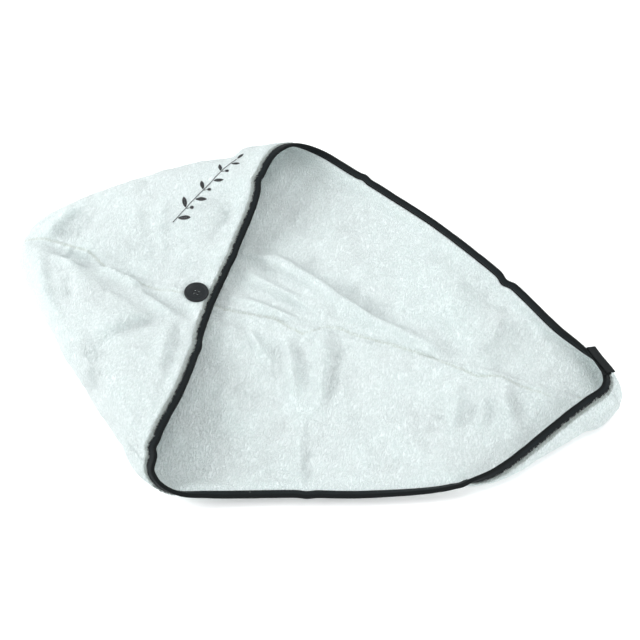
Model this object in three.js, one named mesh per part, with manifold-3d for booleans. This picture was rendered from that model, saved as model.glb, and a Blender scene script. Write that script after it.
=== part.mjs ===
// A hair turban towel lying on a flat surface: a fleece hood whose opening runs out into a long tail.
// Two mirrored fleece panels meet at a seam from the front of the flap, round the crown, to the tail tip.
// Millimetres, +Z up. +X runs from the crown to the tail, and the far panel lies on the +Y side.
// The origin is the middle of the towel's outline, on the surface that carries it.
import * as THREE from "three";
import Module from "manifold-3d";
import { mergeVertices } from "three/addons/utils/BufferGeometryUtils.js";

const wasm = await Module();
wasm.setup();

// Driving dimensions of the towel as it lies
const towelLength = 666;
const cornerReach = 232; // from the seam to the corner of the opening, on each side
const hoodHeight = 50; // the flap's edge at its highest, near the far corner
const crownHeight = 27; // the hood's top just behind its rounded nose
const crownOffset = 10; // how far the nose lies to the far side of the seam's front end
const noseLength = 30; // from the crown, in which the nose rounds over
const noseSpread = 0.67; // sine of half the angle between the hood's sides at the crown
const rollWidth = 62; // the stretch beside the edge that lifts off the surface
const rollSteepness = 2.2; // over 1 the cloth rises ever more steeply towards its edge
const foldRoundness = 9; // how far the cloth swells round the fold between floor side and flap
const bowBias = 0.8; // under 1 the hood is widest nearer its crown than its edge
const bowFullness = 0.09; // fills the bow out towards both its ends

// Cloth and seam
const clothThickness = 3;
const boundThickness = 1.6; // the same cloth, pressed flat inside the binding
const boundMargin = 1.5; // of pressed cloth beyond the binding
const releaseLength = 9; // in which the pressed cloth swells to its full thickness
const seamGap = 0.3;

// Edge binding
const bindingWidth = 7;
const bindingThickness = 0.9;
const bindingClearance = 0.35;

// Button
const buttonDiameter = 26.5;
const buttonThickness = 3.6;
const buttonRimWidth = 2.8;
const buttonDish = 1.1; // depth of the middle below the rim
const threadHoleDiameter = 1.9;
const threadHoleSpacing = 4;
const buttonGap = 0.3; // above the cloth
const buttonSetback = 1; // between button and binding
const seatMargin = 9; // flat cloth round the button
const seatBlend = 26; // from the flat seat out to the free cloth

// Elastic loop
const loopLength = 36;
const elasticWidth = 10;
const elasticThickness = 1.2;
const loopOpening = 1.6; // between the two runs, at rest
const loopClearance = 0.35; // between the lower run and the binding it lies on
const loopStart = 9; // along the far edge, from the tail tip
const loopInset = 4; // how far the elastic reaches over the binding's inner edge
const loopFan = 3; // by which the upper run swings out at the sewn end
const loopDroop = 0.25; // slope of the elastic's width, down and away from the opening

// Mesh fineness
const rowsFromCrown = 21;
const edgeStep = 22;
const edgeTurn = 0.25; // the most that the binding may turn from one station to the next, in radians
const buttonSides = 32;
const holeSides = 10;
const loopEndSteps = 6;

// The edge of the opening, from the tail tip along the far side, over the far corner, along the flap's
// edge past the button, over the near corner and back. along is a share of towelLength from the crown,
// out of cornerReach and up of hoodHeight. over is 0 on the floor side and 1 on the flap. bow is how far
// the cloth swells to the left of a straight line from the crown, lip how far it rolls out below the
// edge, and puff how far it rises halfway, as shares of cornerReach, hoodHeight and hoodHeight.
const edgeRows = [
  { along: 0.969, out: 0, up: 0.52, over: 0, bow: -0.03, lip: 0.96, puff: 0 },
  { along: 0.962, out: 0.09, up: 0.52, over: 0, bow: -0.03, lip: 0.64, puff: 0 },
  { along: 0.931, out: 0.178, up: 0.48, over: 0, bow: -0.02, lip: 0.36, puff: 0 },
  { along: 0.886, out: 0.283, up: 0.4, over: 0, bow: 0, lip: 0.16, puff: 0 },
  { along: 0.803, out: 0.489, up: 0.32, over: 0, bow: 0.01, lip: 0.04, puff: 0 },
  { along: 0.663, out: 0.748, up: 0.32, over: 0, bow: 0.03, lip: 0, puff: 0 },
  { along: 0.571, out: 0.876, up: 0.36, over: 0, bow: 0.06, lip: 0, puff: 0 },
  { along: 0.487, out: 0.977, up: 0.44, over: 0, bow: 0.09, lip: 0, puff: 0 },
  { along: 0.419, out: 1.034, up: 0.6, over: 0.2, bow: 0.115, lip: 0.12, puff: 0.1 },
  { along: 0.378, out: 0.999, up: 0.8, over: 0.5, bow: 0.125, lip: 0.3, puff: 0.1 },
  { along: 0.359, out: 0.893, up: 0.96, over: 0.8, bow: 0.125, lip: 0.26, puff: 0.1 },
  { along: 0.353, out: 0.748, up: 1.0, over: 1, bow: 0.105, lip: 0, puff: 0.12 },
  { along: 0.358, out: 0.515, up: 0.76, over: 1, bow: 0.07, lip: 0, puff: 0.2 },
  { along: 0.355, out: 0.36, up: 0.54, over: 1, bow: 0.05, lip: 0, puff: 0.2 },
  { along: 0.352, out: 0.175, up: 0.36, over: 1, bow: 0.02, lip: 0, puff: 0.1 },
  { along: 0.35, out: 0, up: 0.26, over: 1, bow: 0, lip: 0, puff: 0.02 },
  { along: 0.357, out: -0.183, up: 0.34, over: 1, bow: -0.01, lip: 0, puff: 0.1 },
  { along: 0.369, out: -0.36, up: 0.48, over: 1, bow: -0.02, lip: 0, puff: 0.18 },
  { along: 0.378, out: -0.58, up: 0.68, over: 1, bow: -0.024, lip: 0, puff: 0.14 },
  { along: 0.379, out: -0.808, up: 0.84, over: 1, bow: -0.036, lip: 0, puff: 0 },
  { along: 0.384, out: -0.916, up: 0.8, over: 0.8, bow: -0.042, lip: 0.04, puff: -0.04 },
  { along: 0.385, out: -0.965, up: 0.66, over: 0.55, bow: -0.042, lip: 0.1, puff: -0.04 },
  { along: 0.401, out: -0.998, up: 0.5, over: 0.3, bow: -0.042, lip: 0.14, puff: 0 },
  { along: 0.429, out: -1.004, up: 0.36, over: 0.1, bow: -0.038, lip: 0.08, puff: 0 },
  { along: 0.47, out: -0.965, up: 0.24, over: 0, bow: -0.034, lip: 0, puff: 0 },
  { along: 0.587, out: -0.854, up: 0.18, over: 0, bow: -0.03, lip: 0.02, puff: 0 },
  { along: 0.678, out: -0.777, up: 0.18, over: 0, bow: -0.02, lip: 0.1, puff: 0 },
  { along: 0.788, out: -0.652, up: 0.25, over: 0, bow: -0.02, lip: 0.2, puff: 0 },
  { along: 0.82, out: -0.584, up: 0.33, over: 0, bow: -0.02, lip: 0.36, puff: 0 },
  { along: 0.848, out: -0.505, up: 0.39, over: 0, bow: -0.02, lip: 0.53, puff: 0 },
  { along: 0.885, out: -0.354, up: 0.45, over: 0, bow: -0.03, lip: 0.7, puff: 0 },
  { along: 0.918, out: -0.212, up: 0.5, over: 0, bow: -0.03, lip: 0.81, puff: 0 },
  { along: 0.945, out: -0.103, up: 0.52, over: 0, bow: -0.03, lip: 0.88, puff: 0 },
];
const flapFront = 15; // the row at the front end of the top seam

// Soft folds in the cloth, each a straight ridge or, with a negative height, a valley. The ends are
// shares of towelLength and cornerReach, the half width and the height are shares of hoodHeight.
const folds = [
  { layer: "floor", x0: 0.42, y0: 0.3, x1: 0.56, y1: 0.08, halfWidth: 0.3, height: 0.13 },
  { layer: "floor", x0: 0.55, y0: 0.38, x1: 0.7, y1: 0.1, halfWidth: 0.36, height: 0.1 },
  { layer: "floor", x0: 0.8, y0: 0.3, x1: 0.78, y1: 0.02, halfWidth: 0.3, height: 0.14 },
  { layer: "floor", x0: 0.82, y0: -0.06, x1: 0.86, y1: -0.3, halfWidth: 0.26, height: 0.12 },
  { layer: "floor", x0: 0.55, y0: -0.1, x1: 0.61, y1: -0.5, halfWidth: 0.3, height: 0.08 },
  { layer: "flap", x0: 0.1, y0: 0.06, x1: 0.3, y1: -0.06, halfWidth: 0.4, height: -0.12 },
  { layer: "flap", x0: 0.3, y0: -0.16, x1: 0.23, y1: -0.44, halfWidth: 0.38, height: -0.1 },
  { layer: "flap", x0: 0.08, y0: -0.2, x1: 0.19, y1: -0.53, halfWidth: 0.42, height: -0.08 },
];

const { clamp, lerp } = THREE.MathUtils;
const rowCount = edgeRows.length;
const crown = new THREE.Vector3(0, crownOffset, crownHeight * 0.5);
const ease = (share) => share * share * (3 - 2 * share);

const edgeCurve = new THREE.CatmullRomCurve3(
  edgeRows.map(
    (row) => new THREE.Vector3(row.along * towelLength, row.out * cornerReach, row.up * hoodHeight),
  ),
  true,
  "centripetal",
);

// The place on the edge at a row number, which may lie between two rows.
function edgePoint(row) {
  const wrapped = ((row % rowCount) + rowCount) % rowCount;
  return edgeCurve.getPoint(wrapped / rowCount);
}

// A column of the table at a row number, smoothed between the rows.
function columnAt(name, row) {
  const first = Math.floor(row);
  const share = row - first;
  const value = (offset) => edgeRows[(first + offset + rowCount * 2) % rowCount][name];
  const [before, start, end, after] = [value(-1), value(0), value(1), value(2)];
  const startSlope = (end - before) / 2;
  const endSlope = (after - start) / 2;
  const rise = end - start;
  return (
    start +
    share * (startSlope + share * (3 * rise - 2 * startSlope - endSlope + share * (startSlope + endSlope - 2 * rise)))
  );
}

// The lift of all folds of one layer at a place in plan.
function foldLift(layer, x, y) {
  let lift = 0;
  for (const fold of folds.filter((each) => each.layer === layer)) {
    const start = new THREE.Vector2(fold.x0 * towelLength, fold.y0 * cornerReach);
    const run = new THREE.Vector2(fold.x1 * towelLength, fold.y1 * cornerReach).sub(start);
    const offset = new THREE.Vector2(x, y).sub(start);
    const share = clamp(offset.dot(run) / run.lengthSq(), 0, 1);
    const distance = offset.sub(run.clone().multiplyScalar(share)).length();
    const halfWidth = fold.halfWidth * hoodHeight;
    lift += fold.height * hoodHeight * Math.exp(-((distance / halfWidth) ** 2));
  }
  return lift;
}

const seatReach = bindingWidth + buttonSetback + buttonDiameter / 2;
const seatPlace = edgePoint(flapFront);
const seatSlope = (seatPlace.z - crownHeight) / (seatPlace.x - crown.x);
const seatCentre = new THREE.Vector3(
  seatPlace.x - seatReach,
  seatPlace.y,
  seatPlace.z - seatReach * seatSlope,
);

// The outer face of the cloth. reach runs from 0 at the crown to 1 at the edge of the opening.
function outerPoint(reach, row) {
  const edge = edgePoint(row);
  const ahead = edgePoint(row + 0.05).sub(edgePoint(row - 0.05));
  const outward = new THREE.Vector2(ahead.y, -ahead.x).normalize();
  const line = new THREE.Vector2(edge.x - crown.x, edge.y - crown.y);
  const length = line.length();
  const leftward = new THREE.Vector2(-line.y, line.x).divideScalar(length);

  const over = ease(clamp(columnAt("over", row), 0, 1));
  const nose = Math.sqrt(1 - (1 - Math.min((reach * length) / noseLength, 1)) ** 2);
  const roll = clamp(1 - ((1 - reach) * length) / rollWidth, 0, 1);
  const bowed = Math.PI * reach ** bowBias;
  const bow = columnAt("bow", row) * cornerReach * (Math.sin(bowed) + bowFullness * Math.sin(3 * bowed));
  const side = Math.sign(edge.y) * foldRoundness * Math.sin(Math.PI * over) * nose * (1 - reach ** 4);
  const rolled = Math.sin(Math.PI * roll) * ease(Math.min(2 * roll, 1));
  const lip = Math.max(columnAt("lip", row), 0) * hoodHeight * rolled;

  const plan = new THREE.Vector2(crown.x, crown.y)
    .addScaledVector(line, reach)
    .addScaledVector(leftward, bow + side)
    .addScaledVector(outward, lip);

  const open = 1 - roll;
  const floorHeight = edge.z * roll ** rollSteepness + Math.max(foldLift("floor", plan.x, plan.y), 0) * open;
  const puff = columnAt("puff", row) * hoodHeight * Math.sin(Math.PI * reach);
  let flapHeight = lerp(crownHeight, edge.z, reach) + puff + foldLift("flap", plan.x, plan.y) * open;
  const fromSeat = Math.hypot(plan.x - seatCentre.x, plan.y - seatCentre.y);
  const flat = buttonDiameter / 2 + seatMargin;
  const seated = ease(clamp((flat + seatBlend - fromSeat) / seatBlend, 0, 1));
  flapHeight = lerp(flapHeight, seatCentre.z + (plan.x - seatCentre.x) * seatSlope, seated);

  const height = crown.z + (lerp(floorHeight, flapHeight, over) - crown.z) * nose;
  return new THREE.Vector3(plan.x, plan.y, height);
}

// The direction from the outer face into the cloth.
function inwardNormal(reach, row) {
  const step = Math.min(0.002, reach / 2);
  const alongReach = outerPoint(Math.min(reach + step, 1), row).sub(outerPoint(reach - step, row));
  const alongEdge = outerPoint(reach, row + 0.02).sub(outerPoint(reach, row - 0.02));
  return alongReach.cross(alongEdge).normalize();
}

// The way through the cloth, for a thickness of 1. In the point of the nose it runs straight back, as
// far as leaves the sloping sides their thickness.
function throughCloth(reach, row) {
  const back = new THREE.Vector3(1 / noseSpread, 0, 0);
  if (reach === 0) return back;
  const outer = outerPoint(reach, row);
  const fromCrown = Math.hypot(outer.x - crown.x, outer.y - crown.y);
  return back.lerp(inwardNormal(reach, row), ease(clamp(fromCrown / (noseLength * 0.7), 0, 1)));
}

// A point at a share of the cloth's depth: -1 on its outer face, 0 in its middle, 1 on its inner face.
function clothPoint(reach, row, depth, thickness) {
  const through = throughCloth(reach, row);
  return outerPoint(reach, row).addScaledVector(through, (clothThickness + depth * thickness) / 2);
}

// The reach of the cloth at a distance from the edge, measured square to the edge.
function reachAt(distance, row) {
  const span = 0.02;
  const run = outerPoint(1, row).sub(outerPoint(1 - span, row)).divideScalar(span);
  const ahead = edgePoint(row + 0.05).sub(edgePoint(row - 0.05)).normalize();
  return 1 - distance / run.cross(ahead).length();
}

// Row numbers along a stretch of the edge, about edgeStep apart and closer where the binding turns.
function stationsBetween(firstRow, lastRow) {
  const stations = [firstRow];
  for (let row = firstRow; row < lastRow; row += 1) {
    const distance = edgePoint(row).distanceTo(edgePoint(row + 1));
    const turn = edgeFrame(row).into.angleTo(edgeFrame(row + 1).into);
    const steps = Math.max(2, Math.round(distance / edgeStep), Math.ceil(turn / edgeTurn));
    for (let step = 1; step <= steps; step += 1) stations.push(row + step / steps);
  }
  return stations;
}

// A closed mesh through rings of points. An open run of rings is closed at both ends by a ladder of
// faces between the first and the last half of the ring. Each square is split from its first point
// where split says true, the other way where it says false, and else along its shorter diagonal.
function skin(rings, closed, split) {
  const size = rings[0].length;
  const positions = rings.flat().flatMap((point) => point.toArray());
  const faces = [];
  const corner = (i) => new THREE.Vector3().fromArray(positions, i * 3);
  const quad = (a, b, c, d, fromFirst) => {
    const shorter = corner(a).distanceTo(corner(c)) <= corner(b).distanceTo(corner(d));
    if (fromFirst ?? shorter) faces.push([a, b, c], [a, c, d]);
    else faces.push([a, b, d], [b, c, d]);
  };
  const links = closed ? rings.length : rings.length - 1;
  for (let ring = 0; ring < links; ring += 1) {
    const here = ring * size;
    const next = ((ring + 1) % rings.length) * size;
    for (let point = 0; point < size; point += 1) {
      const other = (point + 1) % size;
      quad(here + point, here + other, next + other, next + point, split(point));
    }
  }
  if (!closed) {
    const last = (rings.length - 1) * size;
    for (let rung = 0; rung < size / 2 - 1; rung += 1) {
      const [a, b, c, d] = [rung, rung + 1, size - 2 - rung, size - 1 - rung];
      quad(a, d, c, b, true);
      quad(last + a, last + b, last + c, last + d, true);
    }
  }
  const geometry = new THREE.BufferGeometry();
  geometry.setAttribute("position", new THREE.Float32BufferAttribute(positions, 3));
  geometry.setIndex(faces.flat());
  return facingOut(withoutSlivers(mergeVertices(geometry, 1e-3)));
}

// Drops the faces that lost a corner when points at the crown were merged.
function withoutSlivers(geometry) {
  const index = geometry.index.array;
  const kept = [];
  for (let i = 0; i < index.length; i += 3) {
    const [a, b, c] = [index[i], index[i + 1], index[i + 2]];
    if (a !== b && b !== c && c !== a) kept.push(a, b, c);
  }
  geometry.setIndex(kept);
  return geometry;
}

// Turns the faces round when they enclose a negative volume.
function facingOut(geometry) {
  const position = geometry.attributes.position;
  const index = geometry.index.array;
  const corner = (i) => new THREE.Vector3().fromBufferAttribute(position, index[i]);
  let volume = 0;
  for (let i = 0; i < index.length; i += 3) volume += corner(i).dot(corner(i + 1).cross(corner(i + 2)));
  if (volume < 0) {
    for (let i = 0; i < index.length; i += 3) [index[i], index[i + 1]] = [index[i + 1], index[i]];
  }
  geometry.computeVertexNormals();
  return geometry;
}

// The mean of a direction just before, at and just after a row.
function smoothed(direction, row) {
  const sum = direction(row);
  for (const offset of [-0.25, 0.25]) sum.add(direction(row + offset));
  return sum.normalize();
}

// The middle of the cloth at its edge.
function edgeMiddle(row) {
  const through = smoothed((near) => inwardNormal(1, near), row);
  return edgePoint(row).addScaledVector(through, clothThickness / 2);
}

// The middle of the cloth at the edge, with the directions into the cloth and out of its inner face.
function edgeFrame(row) {
  const pressed = bindingWidth + boundMargin;
  const inward = (near) => outerPoint(reachAt(pressed, near), near).sub(edgePoint(near)).normalize();
  const ahead = edgeMiddle(row + 0.2).sub(edgeMiddle(row - 0.2)).normalize();
  const face = ahead.clone().cross(smoothed(inward, row)).normalize();
  return { place: edgeMiddle(row), into: face.clone().cross(ahead).normalize(), face, ahead };
}

// The row whose line from the crown passes square beside a row of the edge, at a distance from it.
function rowBeside(distance, row) {
  const { place, ahead } = edgeFrame(row);
  const pace = edgePoint(row + 0.1).distanceTo(edgePoint(row - 0.1)) / 0.2;
  let beside = row;
  for (let round = 0; round < 4; round += 1) {
    const lead = outerPoint(reachAt(distance, beside), beside).sub(place).dot(ahead);
    beside -= lead / pace;
  }
  return beside;
}

// A point beside the edge: depth into the cloth, and height off its middle towards the inner face.
function boundPoint({ place, into, face }, depth, height) {
  return place.clone().addScaledVector(into, depth).addScaledVector(face, height);
}

// One fleece panel between two rows of the edge, moved off the seam by half its gap.
function panelGeometry(firstRow, lastRow, side) {
  const pressedFrom = bindingWidth + boundMargin;
  const fullFrom = pressedFrom + releaseLength;
  const layer = (row, depth) => {
    const beside = rowBeside(fullFrom, row);
    const inner = reachAt(fullFrom, beside);
    const points = [];
    for (let i = 0; i <= rowsFromCrown; i += 1) {
      const share = ease(i / rowsFromCrown);
      points.push(clothPoint(inner * share, lerp(row, beside, share ** 3), depth, clothThickness));
    }
    const frame = edgeFrame(row);
    for (const bound of [pressedFrom, bindingWidth, 0]) {
      points.push(boundPoint(frame, bound, (depth * boundThickness) / 2));
    }
    return points;
  };
  const rings = stationsBetween(firstRow, lastRow).map((row) => [
    ...layer(row, -1),
    ...layer(row, 1).reverse(),
  ]);
  const layerSize = rings[0].length / 2;
  const split = (point) => {
    if (point < layerSize - 3 || point > layerSize + 1) return undefined;
    return point < layerSize;
  };
  return skin(rings, false, split).translate(0, (side * seamGap) / 2, 0);
}

// The binding's section: a channel that takes the pressed edge of the cloth.
function bindingSection() {
  const inside = boundThickness / 2 + bindingClearance;
  const outside = inside + bindingThickness;
  const bottom = -bindingClearance;
  const back = bottom - bindingThickness;
  return [
    [bindingWidth, outside],
    [0, outside],
    [back, outside * 0.55],
    [back, -outside * 0.55],
    [0, -outside],
    [bindingWidth, -outside],
    [bindingWidth, -inside],
    [bottom, -inside],
    [bottom, inside],
    [bindingWidth, inside],
  ];
}

function bindingGeometry() {
  const section = bindingSection();
  const rings = stationsBetween(0, rowCount)
    .slice(0, -1)
    .map((row) => {
      const frame = edgeFrame(row);
      return section.map(([depth, height]) => boundPoint(frame, depth, height));
    });
  const split = (point) => section[(point + 1) % section.length][0] <= section[point][0];
  return skin(rings, true, split);
}

// A three.js geometry as a solid that can be cut.
function solidOf(geometry) {
  const bare = geometry.clone();
  for (const name of ["normal", "uv"]) bare.deleteAttribute(name);
  const merged = facingOut(withoutSlivers(mergeVertices(bare, 1e-4)));
  return new wasm.Manifold(
    new wasm.Mesh({
      numProp: 3,
      vertProperties: merged.attributes.position.array,
      triVerts: new Uint32Array(merged.index.array),
    }),
  );
}

function geometryOf(solid) {
  const mesh = solid.getMesh();
  const geometry = new THREE.BufferGeometry();
  geometry.setAttribute("position", new THREE.Float32BufferAttribute(mesh.vertProperties, 3));
  geometry.setIndex(Array.from(mesh.triVerts));
  geometry.computeVertexNormals();
  return geometry;
}

function buttonGeometry() {
  const radius = buttonDiameter / 2;
  const dish = buttonThickness - buttonDish;
  const flank = buttonRimWidth / 2;
  const profile = [
    [0, 0],
    [radius - flank, 0],
    [radius, buttonThickness * 0.4],
    [radius, buttonThickness * 0.7],
    [radius - flank * 0.5, buttonThickness],
    [radius - buttonRimWidth + flank * 0.4, buttonThickness],
    [radius - buttonRimWidth - flank, dish],
    [0, dish],
  ].map(([across, up]) => new THREE.Vector2(across, up));
  const body = new THREE.LatheGeometry(profile, buttonSides).rotateX(Math.PI / 2);
  let solid = solidOf(body);
  for (const x of [-0.5, 0.5]) {
    for (const y of [-0.5, 0.5]) {
      const hole = new THREE.CylinderGeometry(
        threadHoleDiameter / 2,
        threadHoleDiameter / 2,
        buttonThickness * 3,
        holeSides,
      ).rotateX(Math.PI / 2);
      hole.translate(x * threadHoleSpacing, y * threadHoleSpacing, 0);
      solid = solid.subtract(solidOf(hole));
    }
  }
  return geometryOf(solid);
}

// A flat elastic folded back on itself: X along it from the sewn end, Y up, Z across its width. The
// upper run comes back a little further out than the lower one.
function loopGeometry() {
  const radius = (loopOpening + elasticThickness) / 2;
  const bend = loopLength - radius - elasticThickness / 2;
  const stations = [{ x: 0, angle: -Math.PI / 2, swing: 0 }];
  for (let step = 0; step <= loopEndSteps; step += 1) {
    const share = step / loopEndSteps;
    stations.push({ x: bend, angle: (share - 0.5) * Math.PI, swing: 0 });
  }
  stations.push({ x: 0, angle: Math.PI / 2, swing: loopFan });
  const rings = stations.map(({ x, angle, swing }) => {
    const ring = [];
    for (const [side, across] of [[-0.5, 0], [0.5, 0], [0.5, 1], [-0.5, 1]]) {
      const reach = radius + side * elasticThickness;
      const along = x + reach * Math.cos(angle);
      ring.push(new THREE.Vector3(along, reach * Math.sin(angle), swing + across * elasticWidth));
    }
    return ring;
  });
  return skin(rings, false, () => true);
}

// The row number at a distance along the edge from the tail tip.
function rowAtDistance(distance) {
  const step = 0.01;
  let row = 0;
  let travelled = 0;
  while (travelled < distance) {
    travelled += edgePoint(row).distanceTo(edgePoint(row + step));
    row += step;
  }
  return row;
}

// Lays the loop on the binding of the far edge, beside the tail tip, with its width away from the opening.
function layLoop(mesh) {
  const firstRow = rowAtDistance(loopStart);
  const lastRow = rowAtDistance(loopStart + loopLength);
  const start = edgePoint(firstRow);
  const along = edgePoint(lastRow).sub(start).normalize();
  const away = new THREE.Vector3(along.y, -along.x, -loopDroop).normalize();
  const up = away.clone().cross(along).normalize();
  away.copy(along).cross(up);

  const bindingHeights = stationsBetween(Math.floor(firstRow), Math.ceil(lastRow)).flatMap((row) =>
    bindingSection().map(([depth, height]) => boundPoint(edgeFrame(row), depth, height).sub(start).dot(up)),
  );
  const underside = loopOpening / 2 + elasticThickness;
  const rise = Math.max(...bindingHeights) + loopClearance + underside;
  mesh.quaternion.setFromRotationMatrix(new THREE.Matrix4().makeBasis(along, up, away));
  mesh.position.copy(start).addScaledVector(away, -loopInset).addScaledVector(up, rise);
}

function material(color, roughness) {
  return new THREE.MeshStandardMaterial({ color, roughness, metalness: 0 });
}

function named(name, geometry, look) {
  const mesh = new THREE.Mesh(geometry, look);
  mesh.name = name;
  return mesh;
}

const fleece = material("#e8f3f3", 0.95);
const tape = material("#1a2224", 0.7);
const plastic = material("#1d1f21", 0.5);
const elastic = material("#17191b", 0.85);

const towel = new THREE.Group();
towel.add(named("panel_far", panelGeometry(0, flapFront, 1), fleece));
towel.add(named("panel_near", panelGeometry(flapFront, rowCount, -1), fleece));
towel.add(named("edge_binding", bindingGeometry(), tape));

const loop = named("elastic_loop", loopGeometry(), elastic);
layLoop(loop);
towel.add(loop);

const button = named("button", buttonGeometry(), plastic);
const seatNormal = new THREE.Vector3(-seatSlope, 0, 1).normalize();
button.position.copy(seatCentre).addScaledVector(seatNormal, buttonGap);
button.quaternion.setFromUnitVectors(new THREE.Vector3(0, 0, 1), seatNormal);
towel.add(button);

// The towel's outline is centred on the origin.
const outline = new THREE.Box3().setFromObject(towel, true);
const middle = outline.getCenter(new THREE.Vector3());
towel.position.set(-middle.x, -middle.y, -outline.min.z);

export default towel;
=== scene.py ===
"""A hair turban towel lying on a pale surface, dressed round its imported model.

The towel's surface is worked out in millimetres in a layout frame, whose X axis runs from the crown of
the hood to the tail tip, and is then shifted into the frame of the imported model.
"""

import logging
import math
from dataclasses import dataclass, field
from enum import Enum

import bmesh
import bpy
import numpy as np
from mathutils import Matrix, Vector
from mathutils.bvhtree import BVHTree

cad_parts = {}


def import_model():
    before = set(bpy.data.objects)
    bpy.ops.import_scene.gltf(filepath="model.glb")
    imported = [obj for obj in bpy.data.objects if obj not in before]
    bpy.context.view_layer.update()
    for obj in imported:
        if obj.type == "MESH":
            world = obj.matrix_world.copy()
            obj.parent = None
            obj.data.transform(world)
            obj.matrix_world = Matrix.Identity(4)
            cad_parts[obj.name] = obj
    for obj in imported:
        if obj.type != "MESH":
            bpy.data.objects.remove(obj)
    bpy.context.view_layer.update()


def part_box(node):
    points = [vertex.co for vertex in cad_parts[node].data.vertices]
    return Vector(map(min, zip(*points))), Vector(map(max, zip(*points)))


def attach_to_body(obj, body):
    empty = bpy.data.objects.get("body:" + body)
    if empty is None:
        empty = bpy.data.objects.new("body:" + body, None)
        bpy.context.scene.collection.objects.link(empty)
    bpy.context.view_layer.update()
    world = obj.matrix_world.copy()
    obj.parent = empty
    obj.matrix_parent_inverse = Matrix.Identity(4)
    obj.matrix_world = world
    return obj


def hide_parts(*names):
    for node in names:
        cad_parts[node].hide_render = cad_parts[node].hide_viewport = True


log = logging.getLogger("towel")

MM = 0.001  # in metres
BODY = "root"
FAR_FROM_SEAM = 99.0  # in mm, where the cloth lies inside the tape


class Layer(Enum):
    """The two layers of cloth at the hood."""

    FLOOR = "floor"
    FLAP = "flap"


class Face(Enum):
    """The two faces of the cloth, with the sign of the way through it."""

    OUTER = -1
    INNER = 1


@dataclass(frozen=True)
class EdgeRow:
    """A place on the opening's edge, in shares of the towel's length, corner reach and hood height.

    Over is 0 on the floor side and 1 on the flap. Bow bends the cloth sideways between crown and edge, lip
    rolls it outwards beside its edge, and puff lifts the flap between crown and edge.
    """

    along: float
    out: float
    up: float
    over: float
    bow: float
    lip: float
    puff: float


@dataclass(frozen=True)
class Kink:
    """A small kink of the edge about a row number, with its half width in rows and its offset in mm."""

    row: float
    half_width: float
    offset: tuple


@dataclass(frozen=True)
class Fold:
    """A straight ridge, or with a negative height a valley, between two places in plan, in mm."""

    layer: Layer
    x0: float
    y0: float
    x1: float
    y1: float
    half_width: float
    height: float


EDGE_ROWS = (
    EdgeRow(0.969, 0, 0.52, 0, -0.03, 0.96, 0),
    EdgeRow(0.962, 0.09, 0.52, 0, -0.03, 0.64, 0),
    EdgeRow(0.931, 0.178, 0.48, 0, -0.02, 0.36, 0),
    EdgeRow(0.886, 0.283, 0.4, 0, 0, 0.16, 0),
    EdgeRow(0.803, 0.489, 0.32, 0, 0.01, 0.04, 0),
    EdgeRow(0.663, 0.748, 0.32, 0, 0.03, 0, 0),
    EdgeRow(0.571, 0.876, 0.36, 0, 0.06, 0, 0),
    EdgeRow(0.487, 0.977, 0.44, 0, 0.09, 0, 0),
    EdgeRow(0.419, 1.034, 0.6, 0.2, 0.115, 0.12, 0.1),
    EdgeRow(0.378, 0.999, 0.8, 0.5, 0.125, 0.3, 0.1),
    EdgeRow(0.359, 0.893, 0.96, 0.8, 0.125, 0.26, 0.1),
    EdgeRow(0.353, 0.748, 1.0, 1, 0.105, 0, 0.12),
    EdgeRow(0.358, 0.515, 0.76, 1, 0.07, 0, 0.2),
    EdgeRow(0.355, 0.36, 0.54, 1, 0.05, 0, 0.2),
    EdgeRow(0.352, 0.175, 0.36, 1, 0.02, 0, 0.1),
    EdgeRow(0.35, 0, 0.26, 1, 0, 0, 0.02),
    EdgeRow(0.357, -0.183, 0.34, 1, -0.01, 0, 0.1),
    EdgeRow(0.369, -0.36, 0.48, 1, -0.02, 0, 0.18),
    EdgeRow(0.378, -0.58, 0.68, 1, -0.024, 0, 0.14),
    EdgeRow(0.379, -0.808, 0.84, 1, -0.036, 0, 0),
    EdgeRow(0.384, -0.916, 0.8, 0.8, -0.042, 0.04, -0.04),
    EdgeRow(0.385, -0.965, 0.66, 0.55, -0.042, 0.1, -0.04),
    EdgeRow(0.401, -0.998, 0.5, 0.3, -0.042, 0.14, 0),
    EdgeRow(0.429, -1.004, 0.36, 0.1, -0.038, 0.08, 0),
    EdgeRow(0.47, -0.965, 0.24, 0, -0.034, 0, 0),
    EdgeRow(0.587, -0.854, 0.18, 0, -0.03, 0.02, 0),
    EdgeRow(0.678, -0.777, 0.18, 0, -0.02, 0.1, 0),
    EdgeRow(0.788, -0.652, 0.25, 0, -0.02, 0.2, 0),
    EdgeRow(0.82, -0.584, 0.33, 0, -0.02, 0.36, 0),
    EdgeRow(0.848, -0.505, 0.39, 0, -0.02, 0.53, 0),
    EdgeRow(0.885, -0.354, 0.45, 0, -0.03, 0.7, 0),
    EdgeRow(0.918, -0.212, 0.5, 0, -0.03, 0.81, 0),
    EdgeRow(0.945, -0.103, 0.52, 0, -0.03, 0.88, 0),
)
FLAP_FRONT = 15
ROW_COUNT = len(EDGE_ROWS)

KINKS = (
    Kink(4.05, 0.07, (-2.2, -2.2, -1)),
    Kink(6.7, 0.09, (0.5, 1.4, 0.6)),
    Kink(11.4, 0.14, (-2.6, 0.5, 0.5)),
    Kink(13.6, 0.2, (1.2, 0, 0.4)),
    Kink(16.7, 0.2, (1.6, 0, 0.5)),
    Kink(19.6, 0.24, (-2.2, -0.5, 0.4)),
    Kink(25.1, 0.1, (0, -1.5, 0.5)),
    Kink(27.4, 0.2, (0.2, -0.9, 0)),
)

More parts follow.
